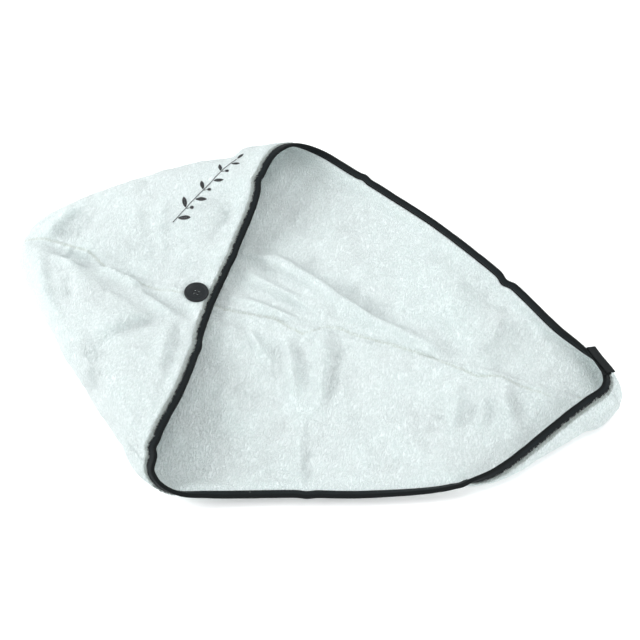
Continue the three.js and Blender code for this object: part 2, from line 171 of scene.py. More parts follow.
FOLDS = (
    Fold(Layer.FLOOR, 280, 70, 373, 19, 15, 6.5),
    Fold(Layer.FLOOR, 366, 88, 466, 23, 18, 5),
    Fold(Layer.FLOOR, 533, 70, 519, 5, 15, 7),
    Fold(Layer.FLOOR, 546, -14, 573, -70, 13, 6),
    Fold(Layer.FLOOR, 366, -23, 406, -116, 15, 4),
    Fold(Layer.FLAP, 67, 14, 200, -14, 20, -6),
    Fold(Layer.FLAP, 200, -37, 153, -102, 19, -5),
    Fold(Layer.FLAP, 53, -46, 127, -123, 21, -4),
)


def ease(share: np.ndarray) -> np.ndarray:
    """A smooth step from 0 to 1."""
    return share * share * (3 - 2 * share)


def unit(vectors: np.ndarray) -> np.ndarray:
    """The vectors scaled to a length of 1, apart from those of no length."""
    return vectors / np.maximum(np.linalg.norm(vectors, axis=-1, keepdims=True), 1e-12)


@dataclass
class TowelForm:
    """The surface of the towel as it lies, in millimetres, from the sizes of its solids."""

    length: float = 666
    corner_reach: float = 232
    hood_height: float = 50
    crown_height: float = 27
    crown_offset: float = 10
    nose_length: float = 30
    nose_spread: float = 0.67
    roll_width: float = 62
    roll_steepness: float = 2.2
    fold_roundness: float = 9
    bow_bias: float = 0.8
    bow_fullness: float = 0.09
    cloth_thickness: float = 3
    bound_thickness: float = 1.6
    bound_margin: float = 1.5
    release_length: float = 9
    binding_width: float = 7
    binding_thickness: float = 0.9
    binding_clearance: float = 0.35
    button_diameter: float = 26.5
    button_thickness: float = 3.6
    button_gap: float = 0.3
    button_setback: float = 1
    seat_margin: float = 9
    seat_blend: float = 26
    nose_blend: float = 0.7
    reach_step: float = 0.002
    row_step: float = 0.02
    frame_step: float = 0.2
    neighbours: tuple = (-0.25, 0, 0.25)
    fine_steps: int = 3000
    beside_rounds: int = 4
    knots: np.ndarray = field(init=False)
    crown: np.ndarray = field(init=False)
    seat: np.ndarray = field(init=False)
    seat_slope: float = field(init=False)
    shift: np.ndarray = field(init=False)

    def __post_init__(self) -> None:
        """Works out the crown, the edge's knots and the button's seat."""
        sizes = (self.length, self.corner_reach, self.hood_height)
        self.knots = np.array([(row.along, row.out, row.up) for row in EDGE_ROWS]) * sizes
        self.crown = np.array([0, self.crown_offset, self.crown_height / 2])
        front = self.edge(np.array(float(FLAP_FRONT)))
        setback = self.binding_width + self.button_setback + self.button_diameter / 2
        self.seat_slope = float((front[2] - self.crown_height) / front[0])
        self.seat = front - np.array([setback, 0, setback * self.seat_slope])
        self.shift = np.zeros(3)

    def align(self, low: Vector, high: Vector) -> None:
        """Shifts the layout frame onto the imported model.

        Args:
            low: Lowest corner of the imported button, in metres.
            high: Its highest corner.
        """
        normal = unit(np.array([-self.seat_slope, 0, 1]))
        middle = self.seat + normal * (self.button_gap + self.button_thickness / 2)
        self.shift = (np.array(low) + np.array(high)) / 2 / MM - middle
        self.shift[2] = 0

    def placed(self, points: np.ndarray) -> np.ndarray:
        """The points of the layout frame in metres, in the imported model's frame."""
        return (points + self.shift) * MM

    def edge(self, row: np.ndarray) -> np.ndarray:
        """The place on the edge at a row number.

        Args:
            row: Row numbers, which may lie between two rows.

        Returns:
            The places, with one more axis.
        """
        wrapped = np.asarray(row, float) % ROW_COUNT
        first = np.floor(wrapped).astype(int) % ROW_COUNT
        share = (wrapped - np.floor(wrapped))[..., None]
        before, start, end, after = (self.knots[(first + k) % ROW_COUNT] for k in (-1, 0, 1, 2))

        def gap(a: np.ndarray, b: np.ndarray) -> np.ndarray:
            """The centripetal spacing of two knots."""
            return np.sqrt(np.linalg.norm(a - b, axis=-1))[..., None]

        g0, g1, g2 = gap(before, start), gap(start, end), gap(end, after)
        leave = ((start - before) / g0 - (end - before) / (g0 + g1) + (end - start) / g1) * g1
        arrive = ((end - start) / g1 - (after - start) / (g1 + g2) + (after - end) / g2) * g1
        square = -3 * start + 3 * end - 2 * leave - arrive
        cube = 2 * start - 2 * end + leave + arrive
        place = start + share * (leave + share * (square + share * cube))
        for kink in KINKS:
            apart = (wrapped - kink.row) / kink.half_width
            place = place + np.exp(-(apart**2))[..., None] * np.array(kink.offset)
        return place

    def column(self, name: str, row: np.ndarray) -> np.ndarray:
        """A column of the table of rows, smoothed between the rows.

        Args:
            name: The column's name.
            row: Row numbers.

        Returns:
            The column's values.
        """
        values = np.array([getattr(each, name) for each in EDGE_ROWS], float)
        first = np.floor(row).astype(int)
        share = row - first
        before, start, end, after = (values[(first + k) % ROW_COUNT] for k in (-1, 0, 1, 2))
        leave, arrive, rise = (end - before) / 2, (after - start) / 2, end - start
        square = 3 * rise - 2 * leave - arrive
        cube = leave + arrive - 2 * rise
        return start + share * (leave + share * (square + share * cube))

    def fold_lift(self, layer: Layer, x: np.ndarray, y: np.ndarray) -> np.ndarray:
        """The lift of all folds of one layer.

        Args:
            layer: The layer.
            x: Places in plan, in the layout frame.
            y: The same.

        Returns:
            The lifts in mm.
        """
        lift = np.zeros_like(x)
        for fold in FOLDS:
            if fold.layer is not layer:
                continue
            run = np.array([fold.x1 - fold.x0, fold.y1 - fold.y0])
            dx, dy = x - fold.x0, y - fold.y0
            share = np.clip((dx * run[0] + dy * run[1]) / (run @ run), 0, 1)
            distance = np.hypot(dx - share * run[0], dy - share * run[1])
            lift += fold.height * np.exp(-((distance / fold.half_width) ** 2))
        return lift

    def ahead(self, row: np.ndarray, step: float = 0.05) -> np.ndarray:
        """The way along the edge, from a step in rows before each row to one after it."""
        return self.edge(row + step) - self.edge(row - step)

    def over(self, row: np.ndarray) -> np.ndarray:
        """0 on the floor side, 1 on the flap, and between them at the side folds."""
        return ease(np.clip(self.column("over", row), 0, 1))

    def outer(self, reach: np.ndarray, row: np.ndarray) -> np.ndarray:
        """The outer face of the cloth.

        Args:
            reach: From 0 at the crown to 1 at the edge of the opening.
            row: Row numbers, of the same shape.

        Returns:
            The points, with one more axis.
        """
        edge = self.edge(row)
        ahead = self.ahead(row)
        outward = unit(np.stack([ahead[..., 1], -ahead[..., 0]], -1))
        line = edge[..., :2] - self.crown[:2]
        length = np.linalg.norm(line, axis=-1)
        leftward = np.stack([-line[..., 1], line[..., 0]], -1) / length[..., None]

        over = self.over(row)
        nose = np.sqrt(1 - (1 - np.minimum(reach * length / self.nose_length, 1)) ** 2)
        roll = np.clip(1 - (1 - reach) * length / self.roll_width, 0, 1)
        bowed = np.pi * np.maximum(reach, 0) ** self.bow_bias
        fullness = np.sin(bowed) + self.bow_fullness * np.sin(3 * bowed)
        bow = self.column("bow", row) * self.corner_reach * fullness
        side = np.sign(edge[..., 1]) * self.fold_roundness * np.sin(np.pi * over) * nose * (1 - reach**4)
        rolled = np.sin(np.pi * roll) * ease(np.minimum(2 * roll, 1))
        lip = np.maximum(self.column("lip", row), 0) * self.hood_height * rolled

        plan = self.crown[:2] + line * reach[..., None]
        plan = plan + leftward * (bow + side)[..., None] + outward * lip[..., None]
        x, y = plan[..., 0], plan[..., 1]

        free = 1 - roll
        floor = edge[..., 2] * roll**self.roll_steepness
        floor = floor + np.maximum(self.fold_lift(Layer.FLOOR, x, y), 0) * free
        flap = self.crown_height + (edge[..., 2] - self.crown_height) * reach
        flap = flap + self.column("puff", row) * self.hood_height * np.sin(np.pi * reach)
        flap = flap + self.fold_lift(Layer.FLAP, x, y) * free
        from_seat = np.hypot(x - self.seat[0], y - self.seat[1])
        flat = self.button_diameter / 2 + self.seat_margin
        seated = ease(np.clip((flat + self.seat_blend - from_seat) / self.seat_blend, 0, 1))
        flap = flap + (self.seat[2] + (x - self.seat[0]) * self.seat_slope - flap) * seated
        height = self.crown[2] + (floor + (flap - floor) * over - self.crown[2]) * nose
        return np.stack([x, y, height], -1)

    def inward(self, reach: np.ndarray, row: np.ndarray) -> np.ndarray:
        """The direction from the outer face into the cloth.

        Args:
            reach: From 0 at the crown to 1 at the edge of the opening.
            row: Row numbers, of the same shape.

        Returns:
            The directions, with one more axis.
        """
        step = np.minimum(self.reach_step, reach / 2)
        along_reach = self.outer(np.minimum(reach + step, 1), row) - self.outer(reach - step, row)
        along_edge = self.outer(reach, row + self.row_step) - self.outer(reach, row - self.row_step)
        return unit(np.cross(along_reach, along_edge))

    def through(self, reach: np.ndarray, row: np.ndarray) -> np.ndarray:
        """The way through the cloth for a thickness of 1, straight back in the point of the nose.

        Args:
            reach: From 0 at the crown to 1 at the edge of the opening.
            row: Row numbers, of the same shape.

        Returns:
            The ways, with one more axis.
        """
        outer = self.outer(reach, row)
        from_crown = np.hypot(outer[..., 0] - self.crown[0], outer[..., 1] - self.crown[1])
        share = ease(np.clip(from_crown / (self.nose_length * self.nose_blend), 0, 1))[..., None]
        back = np.array([1 / self.nose_spread, 0, 0])
        return back + (self.inward(reach, row) - back) * share

    def reach_at(self, distance: float, row: np.ndarray) -> np.ndarray:
        """The reach of the cloth at a distance from the edge, measured square to the edge.

        Args:
            distance: The distance in mm.
            row: Row numbers.

        Returns:
            The reaches.
        """
        span = 0.02
        one = np.ones_like(row)
        run = (self.outer(one, row) - self.outer(one - span, row)) / span
        ahead = unit(self.ahead(row))
        return 1 - distance / np.linalg.norm(np.cross(run, ahead), axis=-1)

    def edge_middle(self, row: np.ndarray) -> np.ndarray:
        """The middle of the cloth at its edge."""
        near = [self.inward(np.ones_like(row), row + offset) for offset in self.neighbours]
        return self.edge(row) + unit(sum(near)) * self.cloth_thickness / 2

    def edge_frame(self, row: np.ndarray) -> tuple[np.ndarray, np.ndarray, np.ndarray, np.ndarray]:
        """The middle of the cloth at the edge, and the directions that the binding follows.

        Args:
            row: Row numbers.

        Returns:
            The places, and the directions into the cloth, out of its inner face and along the edge.
        """
        pressed = self.binding_width + self.bound_margin
        slope = 0
        for offset in self.neighbours:
            near = row + offset
            slope = slope + unit(self.outer(self.reach_at(pressed, near), near) - self.edge(near))
        ahead = unit(self.edge_middle(row + self.frame_step) - self.edge_middle(row - self.frame_step))
        face = unit(np.cross(ahead, slope))
        return self.edge_middle(row), unit(np.cross(face, ahead)), face, ahead

    def row_beside(self, distance: float, row: np.ndarray) -> np.ndarray:
        """The row whose line from the crown passes square beside a row of the edge.

        Args:
            distance: How far from the edge it passes, in mm.
            row: Row numbers on the edge.

        Returns:
            The row numbers of those lines.
        """
        place, _, _, ahead = self.edge_frame(row)
        step = 0.1
        pace = np.linalg.norm(self.ahead(row, step), axis=-1) / (2 * step)
        beside = row.copy()
        for _ in range(self.beside_rounds):
            point = self.outer(self.reach_at(distance, beside), beside)
            beside = beside - np.sum((point - place) * ahead, axis=-1) / pace
        return beside

    def rows_along(self, first: float, last: float, step: float) -> tuple[np.ndarray, np.ndarray]:
        """Row numbers at even steps along the edge.

        Args:
            first: Row number to start from.
            last: Row number to end at.
            step: Wanted distance between two of them.

        Returns:
            The row numbers and their distances along the edge.
        """
        fine = np.linspace(first, last, self.fine_steps)
        places = self.edge(fine)
        paces = np.linalg.norm(np.diff(places, axis=0), axis=-1)
        travelled = np.concatenate([[0], np.cumsum(paces)])
        distances = np.linspace(0, travelled[-1], max(2, round(travelled[-1] / step) + 1))
        return np.interp(distances, travelled, fine), distances


def bezier(
    start: np.ndarray, leave: np.ndarray, arrive: np.ndarray, end: np.ndarray, count: int
) -> np.ndarray:
    """Points of curves between two places, without their ends.

    Args:
        start: Where each curve starts.
        leave: Direction in which it leaves.
        arrive: Direction in which it arrives.
        end: Where it ends.
        count: How many points.

    Returns:
        The points, on a new axis before the last.
    """
    pull = np.linalg.norm(end - start, axis=-1, keepdims=True) / 3
    first, second = start + leave * pull, end - arrive * pull
    made = []
    for share in np.linspace(0, 1, count + 2)[1:-1]:
        rest = 1 - share
        made.append(
            start * rest**3 + first * 3 * rest**2 * share + second * 3 * rest * share**2 + end * share**3
        )
    return np.stack(made, -2)


@dataclass(frozen=True)
class Patch:
    """Rows and columns of points in the layout frame, with their places on the flat cloth in mm."""

    points: np.ndarray
    uvs: np.ndarray
    marks: dict = field(default_factory=dict)
    flip: bool = False

    def mesh(self, name: str, form: "TowelForm") -> bpy.types.Mesh:
        """The patch as a grid of faces, whose points also carry the marks.

        Args:
            name: The mesh's name.
            form: The form that places the layout frame.

        Returns:
            The mesh.
        """
        rows, columns = self.points.shape[:2]
        grid = bmesh.new()
        bmesh.ops.create_grid(grid, x_segments=columns - 1, y_segments=rows - 1, size=1)
        if self.flip:
            bmesh.ops.reverse_faces(grid, faces=grid.faces)
        made = bpy.data.meshes.new(name)
        grid.to_mesh(made)
        grid.free()
        made.vertices.foreach_set("co", form.placed(self.points).reshape(-1).astype(np.float32))
        corners = np.empty(len(made.loops), np.int32)
        made.loops.foreach_get("vertex_index", corners)
        flat = (self.uvs * MM).reshape(-1, 2)[corners]
        made.uv_layers.new(name="Cloth").data.foreach_set("uv", flat.reshape(-1).astype(np.float32))
        for mark, values in self.marks.items():
            numbers = np.ascontiguousarray(values, np.float32).reshape(-1)
            made.attributes.new(mark, "FLOAT", "POINT").data.foreach_set("value", numbers)
        return made


def patched_object(
    name: str, form: "TowelForm", patches: list[Patch], sharp: float = math.pi
) -> bpy.types.Object:
    """A smooth object of patches, welded where their points meet.

    Args:
        name: The object's name.
        form: The form that places the layout frame.
        patches: The patches, with the same marks.
        sharp: Angle in radians from which an edge is shaded sharp.

    Returns:
        The object, at the world's origin.
    """
    whole = bmesh.new()
    for patch in patches:
        carried = patch.mesh(name, form)
        whole.from_mesh(carried)
        bpy.data.meshes.remove(carried)
    bmesh.ops.remove_doubles(whole, verts=whole.verts, dist=1e-6)
    for edge in whole.edges:
        edge.smooth = edge.calc_face_angle(0) < sharp
    return mesh_object(name, whole)


def settle(made: bmesh.types.BMesh) -> None:
    """Puts points and faces in an order by their places, which is the same each run.

    Args:
        made: The bmesh.
    """
    slant = Vector((0.618, 0.283, 1))
    made.verts.sort(key=lambda vert: vert.co @ slant)
    made.faces.sort(key=lambda face: face.calc_center_median() @ slant)


def mesh_object(name: str, made: bmesh.types.BMesh) -> bpy.types.Object:
    """A smooth mesh object from a finished bmesh.

    Args:
        name: The object's name.
        made: The bmesh, which is freed.

    Returns:
        The object, at the world's origin.
    """
    for face in made.faces:
        face.smooth = True
    mesh = bpy.data.meshes.new(name)
    made.to_mesh(mesh)
    made.free()
    placed = bpy.data.objects.new(name, mesh)
    bpy.context.collection.objects.link(placed)
    return placed


def attach(piece: bpy.types.Object, material: bpy.types.Material, slot: str, *nodes: str) -> None:
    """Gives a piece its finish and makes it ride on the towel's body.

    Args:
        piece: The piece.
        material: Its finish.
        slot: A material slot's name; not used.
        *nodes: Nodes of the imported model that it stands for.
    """
    piece.data.materials.append(material)
    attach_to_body(piece, BODY)
    if nodes:
        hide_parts(*nodes)
    log.info("%s: %d faces, stands for %s", piece.name, len(piece.data.polygons), nodes or "no node")


FLAP_SEAM = ((-5, 10), (40, 16), (77, 18), (108, 3), (152, -5), (185, -6), (212, -2), (233, 0))
FLOOR_SEAM = (
    (-5, 10),
    (120, 1),
    (233, -1),
    (244, -4),
    (280, -2),
    (300, 0),
    (318, -6),
    (336, -12),
    (347, -4),
    (357, 5),
    (372, 6),
    (387, 3),
    (423, 2),
    (467, -2),
    (503, -7),
    (521, -12),
    (545, -9),
    (570, -11),
    (600, -16),
    (623, -9),
    (646, -2),
)


@dataclass(frozen=True)
class Crease:
    """A narrow crease along places in plan, in mm, on the face that is seen.

    A negative height makes it a valley. It fades towards both its ends.
    """

    layer: Layer
    points: tuple
    half_width: float
    height: float
    widening: float = 1.4
    fade_share: float = 0.28
    end_share: float = 0.35

    def lift(self, x: np.ndarray, y: np.ndarray) -> np.ndarray:
        """Its lift.

        Args:
            x: Places in plan, in the layout frame.
            y: The same.

        Returns:
            The lifts in mm.
        """
        line = np.array(self.points, float)
        runs = np.diff(line, axis=0)
        lengths = np.linalg.norm(runs, axis=-1)
        total = lengths.sum()
        nearest = np.full_like(x, np.inf)
        travelled = np.zeros_like(x)
        for start, run, length, before in zip(line, runs, lengths, np.cumsum(lengths) - lengths):
            dx, dy = x - start[0], y - start[1]
            share = np.clip((dx * run[0] + dy * run[1]) / length**2, 0, 1)
            distance = np.hypot(dx - share * run[0], dy - share * run[1])
            closer = distance < nearest
            nearest = np.where(closer, distance, nearest)
            travelled = np.where(closer, before + share * length, travelled)
        ends = np.minimum(travelled, total - travelled) / (self.fade_share * total)
        fade = self.end_share + (1 - self.end_share) * ease(np.clip(ends, 0, 1))
        return self.height * np.exp(-((nearest / (self.widening * self.half_width)) ** 2)) * fade


CREASES = (
    Crease(Layer.FLOOR, ((232, 70), (262, 66), (295, 50), (331, 39), (353, 26)), 4.6, -1.7),
    Crease(Layer.FLOOR, ((241, 81), (283, 71), (337, 50), (372, 25)), 6, 2.3),
    Crease(Layer.FLOOR, ((239, 33), (275, 26), (300, 21), (340, 10)), 4.6, -2.2),
    Crease(Layer.FLOOR, ((250, 51), (290, 38), (330, 25)), 5.5, 2),
    Crease(Layer.FLOOR, ((250, 14), (290, 10), (330, 4)), 4.5, 1.6),
    Crease(Layer.FLOOR, ((345, 70), (379, 50), (413, 39), (451, 30), (484, 20), (507, 0)), 6, -2.8),
    Crease(Layer.FLOOR, ((348, 45), (384, 29), (427, 19), (469, 9)), 8, 3),
    Crease(Layer.FLOOR, ((540, 91), (532, 60), (515, -4)), 2.8, 0.8),
    Crease(Layer.FLOOR, ((425, 135), (466, 84), (498, 40)), 28, 3.2),
    Crease(Layer.FLOOR, ((462, 158), (512, 106), (558, 62), (600, 16)), 14, -2),
    Crease(Layer.FLOOR, ((493, -40), (497, -78)), 4, -1.3),
    Crease(Layer.FLOOR, ((505, -34), (510, -80)), 4.5, 1.3),
    Crease(Layer.FLOOR, ((521, -34), (525, -76)), 4, -1.5),
    Crease(Layer.FLOOR, ((532, -30), (538, -72)), 3.4, 1.3),
    Crease(Layer.FLOOR, ((542, -30), (549, -68)), 3.6, -1.4),
    Crease(Layer.FLOOR, ((552, -27), (560, -60)), 3.2, 1.3),
    Crease(Layer.FLOOR, ((563, -25), (574, -56)), 3.2, -1.1),
    Crease(Layer.FLOOR, ((575, -22), (586, -47)), 4, 1.2),
    Crease(Layer.FLOOR, ((373, -4), (381, -44), (385, -69), (389, -102)), 3, -2.8),
    Crease(Layer.FLOOR, ((356, -4), (368, -48), (377, -92)), 5, 2.2),
    Crease(Layer.FLOOR, ((332, -22), (346, -45), (360, -76)), 3.4, -1.8),
    Crease(Layer.FLOOR, ((319, -20), (336, -57), (352, -96)), 5, 1.7),
    Crease(Layer.FLOOR, ((305, -18), (322, -50), (332, -102)), 4, -1.8),
    Crease(Layer.FLOOR, ((277, -24), (306, -52)), 4.6, 2),
    Crease(Layer.FLOOR, ((262, -16), (290, -50)), 4.4, -1.8),
    Crease(Layer.FLOOR, ((366, -112), (387, -186)), 3, 1),
    Crease(Layer.FLOOR, ((378, -138), (395, -184)), 3, -1.2),
    Crease(Layer.FLAP, ((38, 19), (66, 60)), 8, -2.8),
    Crease(Layer.FLAP, ((26, 14), (50, 66)), 7, 2.3),
    Crease(Layer.FLAP, ((44, -4), (80, -12)), 5, 2),
    Crease(Layer.FLAP, ((52, 6), (88, 1)), 6, -2.4),
    Crease(Layer.FLAP, ((48, 14), (84, 12)), 4.5, 1.4),
    Crease(Layer.FLAP, ((50, -12), (72, -42), (95, -69)), 8, -2.4),
    Crease(Layer.FLAP, ((38, -18), (66, -56), (100, -90)), 6.5, 2.3),
    Crease(Layer.FLAP, ((92, -65), (139, -106), (174, -133)), 9, -1.6),
    Crease(Layer.FLAP, ((84, 15), (110, 9), (156, 2)), 5, -1.7),
    Crease(Layer.FLAP, ((96, 4), (122, -4), (158, -14)), 6, 1.7),
    Crease(Layer.FLAP, ((152, -8), (179, -21), (207, -25), (228, -34)), 4, -1.7),
    Crease(Layer.FLAP, ((160, -22), (184, -32), (205, -38)), 5, 1.4),
    Crease(Layer.FLAP, ((193, -46), (169, -76), (144, -110)), 2.6, -0.8),
    Crease(Layer.FLAP, ((184, -38), (160, -68), (134, -102)), 6, 0.9),
    Crease(Layer.FLAP, ((124, 99), (134, 60), (150, 24), (176, 0)), 6, -1.3),
    Crease(Layer.FLAP, ((136, 100), (146, 60), (162, 28)), 6, 1.1),
    Crease(Layer.FLAP, ((201, 120), (233, 82)), 5, -1.5),
    Crease(Layer.FLAP, ((211, -44), (219, -70), (232, -125), (236, -172)), 3, -0.8),
    Crease(Layer.FLAP, ((202, -48), (209, -76), (220, -128)), 5, 0.7),
)


@dataclass
class SoftField:
    """A gentle random unevenness in plan, as a sum of seeded waves."""

    seed: int
    shortest: float
    longest: float
    height: float
    waves: int = 36
    parts: np.ndarray = field(init=False)

    def __post_init__(self) -> None:
        """Draws the waves."""
        random = np.random.default_rng(self.seed)
        lengths = np.exp(random.uniform(math.log(self.shortest), math.log(self.longest), self.waves))
        angles = random.uniform(0, math.tau, self.waves)
        phases = random.uniform(0, math.tau, self.waves)
        shares = lengths / self.longest
        self.parts = np.stack([np.cos(angles) / lengths, np.sin(angles) / lengths, phases, shares])

    def at(self, x: np.ndarray, y: np.ndarray) -> np.ndarray:
        """The unevenness.

        Args:
            x: Places in plan, in the layout frame.
            y: The same.

        Returns:
            The unevenness in mm.
        """
        total = np.zeros_like(x)
        for across, up, phase, share in self.parts.T:
            total += share * np.sin(math.tau * (across * x + up * y) + phase)
        return total * self.height / math.sqrt(self.waves / 2)


@dataclass
class Relief:
    """What lies over the plain form of the cloth: creases, the centre seam, its puckers and uneven pile."""

    form: TowelForm
    ridge_height: float = 2.4
    ridge_width: float = 6.5
    groove_depth: float = 2.2
    groove_width: float = 2.6
    ridge_gain: float = 3.2
    valley_gain: float = 2.1
    deepest: float = 3
    hidden_share: float = 0.35
    pucker_pitch: float = 11
    pucker_height: float = 0.65
    pucker_reach: float = 13
    pucker_wander: tuple = ((2.6, 23), (1.7, 9.7))
    pucker_least: float = 0.35
    pucker_patch: float = 17
    pucker_drift: tuple = (1.1, 41)
    broad: SoftField = field(default_factory=lambda: SoftField(11, 26, 90, 0.75))
    fine: SoftField = field(default_factory=lambda: SoftField(12, 7, 22, 0.3))

    def from_seam(self, x: np.ndarray, y: np.ndarray, over: np.ndarray) -> np.ndarray:
        """The distance from the centre seam, on the floor side or on the flap.

        Args:
            x: Places in plan, in the layout frame.
            y: The same.
            over: 0 on the floor side and 1 on the flap.

        Returns:
            The distances in mm.
        """
        lines = []
        for points in (FLAP_SEAM, FLOOR_SEAM):
            line = np.array(points, float)
            middles = (line[1:, 0] + line[:-1, 0]) / 2
            slope = np.interp(x, middles, np.diff(line[:, 1]) / np.diff(line[:, 0]))
            lines.append(np.abs(y - np.interp(x, line[:, 0], line[:, 1])) / np.hypot(1, slope))
        return np.where(over > 0.5, *lines)

    def pucker(self, x: np.ndarray, seam: np.ndarray) -> np.ndarray:
        """The small puckers across the centre seam, which wander and come and go along it.

        Args:
            x: Places along the towel, in the layout frame.
            seam: Their distances from the seam.

        Returns:
            The lifts in mm.
        """
        phase = math.tau * x / self.pucker_pitch
        for turn, length in self.pucker_wander:
            phase = phase + turn * np.sin(x / length)
        turn, length = self.pucker_drift
        patches = np.sin(x / self.pucker_patch + turn * np.sin(x / length)) ** 2
        strength = self.pucker_least + (1 - self.pucker_least) * patches
        return self.pucker_height * strength * np.sin(phase) * np.exp(-((seam / self.pucker_reach) ** 2))

    def lift(self, x: np.ndarray, y: np.ndarray, over: np.ndarray, face: Face) -> np.ndarray:
        """How far the face stands out from the plain form.

        Args:
            x: Places in plan, in the layout frame.
            y: The same.
            over: 0 on the floor side and 1 on the flap.
            face: Which face of the cloth.

        Returns:
            The lifts in mm.
        """
        seam = self.from_seam(x, y, over)
        ridge = self.ridge_height * np.exp(-((seam / self.ridge_width) ** 2))
        groove = self.groove_depth * np.exp(-((seam / self.groove_width) ** 2))
        flap = over > 0.5
        crease = np.zeros_like(x)
        for each in CREASES:
            crease += np.where(flap == (each.layer is Layer.FLAP), each.lift(x, y), 0)
        crease = crease * np.where(crease > 0, self.ridge_gain, self.valley_gain)
        seen = crease + ridge - groove + self.pucker(x, seam)
        # A valley levels off at the deepest, and the hidden face gives way below it.
        seen = np.where(seen < 0, -self.deepest * np.tanh(-seen / self.deepest), seen)
        hidden = self.hidden_share * np.maximum(-seen, 0)
        lift = np.where(flap == (face is Face.OUTER), seen, hidden)
        return self.broad.at(x, y) + self.fine.at(x, y) + lift


@dataclass
class FleecePanel:
    """One fleece half, from the seam on the floor side round the side fold to the seam on the flap."""

    form: TowelForm
    relief: Relief
    name: str
    node: str
    first_row: float
    last_row: float
    column_step: float = 3.5
    steps: int = 160
    bridge_steps: int = 6
    tape_gap: float = 0.3
    loft: float = 1.2
    loft_width: float = 6
    crown_fade: float = 40
    mouth: float = 0.5
    bridge_slant: float = 0.6
    sharp_angle: float = 1
    piece: bpy.types.Object = field(init=False)

    def face(self, rows: np.ndarray, face: Face) -> tuple[np.ndarray, np.ndarray]:
        """One face of the cloth from the crown to the tape's mouth, then on inside the tape.

        Args:
            rows: Row numbers of the columns.
            face: Which face.

        Returns:
            The points, and how far each lies from the seam.
        """
        form = self.form
        full_from = form.binding_width + form.bound_margin + form.release_length
        beside = form.row_beside(full_from, rows)
        inner = form.reach_at(full_from, beside)
        share = np.linspace(0, 1, self.steps)
        reach = inner[:, None] * share
        # The lines from the crown turn aside towards the edge, so that they meet the tape square to it.
        row = rows[:, None] + (beside - rows)[:, None] * share**3
        outer = form.outer(reach, row)
        through = form.through(reach, row)
        plain = outer + through * (form.cloth_thickness * (1 + face.value) / 2)
        over = form.over(row)
        x, y = outer[..., 0], outer[..., 1]
        from_edge = full_from + (1 - share) * np.linalg.norm(outer[:, -1] - outer[:, 0], axis=-1)[:, None]
        from_crown = reach * np.linalg.norm(form.edge(rows)[:, :2], axis=-1)[:, None]
        fade = ease(np.clip(from_crown / self.crown_fade, 0, 1))
        lift = self.relief.lift(x, y, over, face) * fade
        lift += self.loft * np.exp(-(((from_edge - full_from) / self.loft_width) ** 2))
        points = plain + unit(through) * (face.value * lift)[..., None]
        seam = self.relief.from_seam(x, y, over)

        place, into, normal, _ = form.edge_frame(rows)
        pressed = form.bound_thickness / 2
        stations = [
            (form.binding_width + self.tape_gap, pressed + self.mouth),
            (form.binding_width - self.mouth, pressed),
            (form.binding_width / 2, pressed),
            (0, pressed),
        ]
        strip = np.stack(
            [place + into * depth + normal * (face.value * height) for depth, height in stations], axis=1
        )
        leave = unit(points[:, -1] - points[:, -3])
        arrive = -into - normal * (face.value * self.bridge_slant)
        bridge = bezier(points[:, -1], leave, arrive, strip[:, 0], self.bridge_steps)
        bound = np.full((len(rows), bridge.shape[1] + strip.shape[1]), FAR_FROM_SEAM)
        return np.concatenate([points, bridge, strip], axis=1), np.concatenate([seam, bound], axis=1)

    def build(self) -> None:
        """Makes the panel's mesh."""
        rows, along = self.form.rows_along(self.first_row, self.last_row, self.column_step)
        outer, outer_seam = self.face(rows, Face.OUTER)
        inner, inner_seam = self.face(rows, Face.INNER)
        ring = np.concatenate([outer, inner[:, ::-1]], axis=1)
        seam = np.concatenate([outer_seam, inner_seam[:, ::-1]], axis=1)
        span = np.linalg.norm(np.diff(ring, axis=1), axis=-1)
        across = np.concatenate([np.zeros((len(rows), 1)), np.cumsum(span, axis=1)], axis=1)
        uvs = np.stack([np.broadcast_to(along[:, None], across.shape), across], -1)
        patches = [Patch(ring, uvs, {"from_seam": seam}, flip=True)]
        for end in (0, -1):
            wall = np.stack([outer[end], inner[end]])
            marks = {"from_seam": np.stack([outer_seam[end], inner_seam[end]])}
            half = uvs[end, : outer.shape[1]]
            patches.append(Patch(wall, np.stack([half, half]), marks, flip=end == -1))
        self.piece = patched_object(self.name, self.form, patches, sharp=self.sharp_angle)

    def dress(self, material: bpy.types.Material) -> None:
        """Gives the panel its finish and its place in the model."""
        attach(self.piece, material, "fleece", self.node)


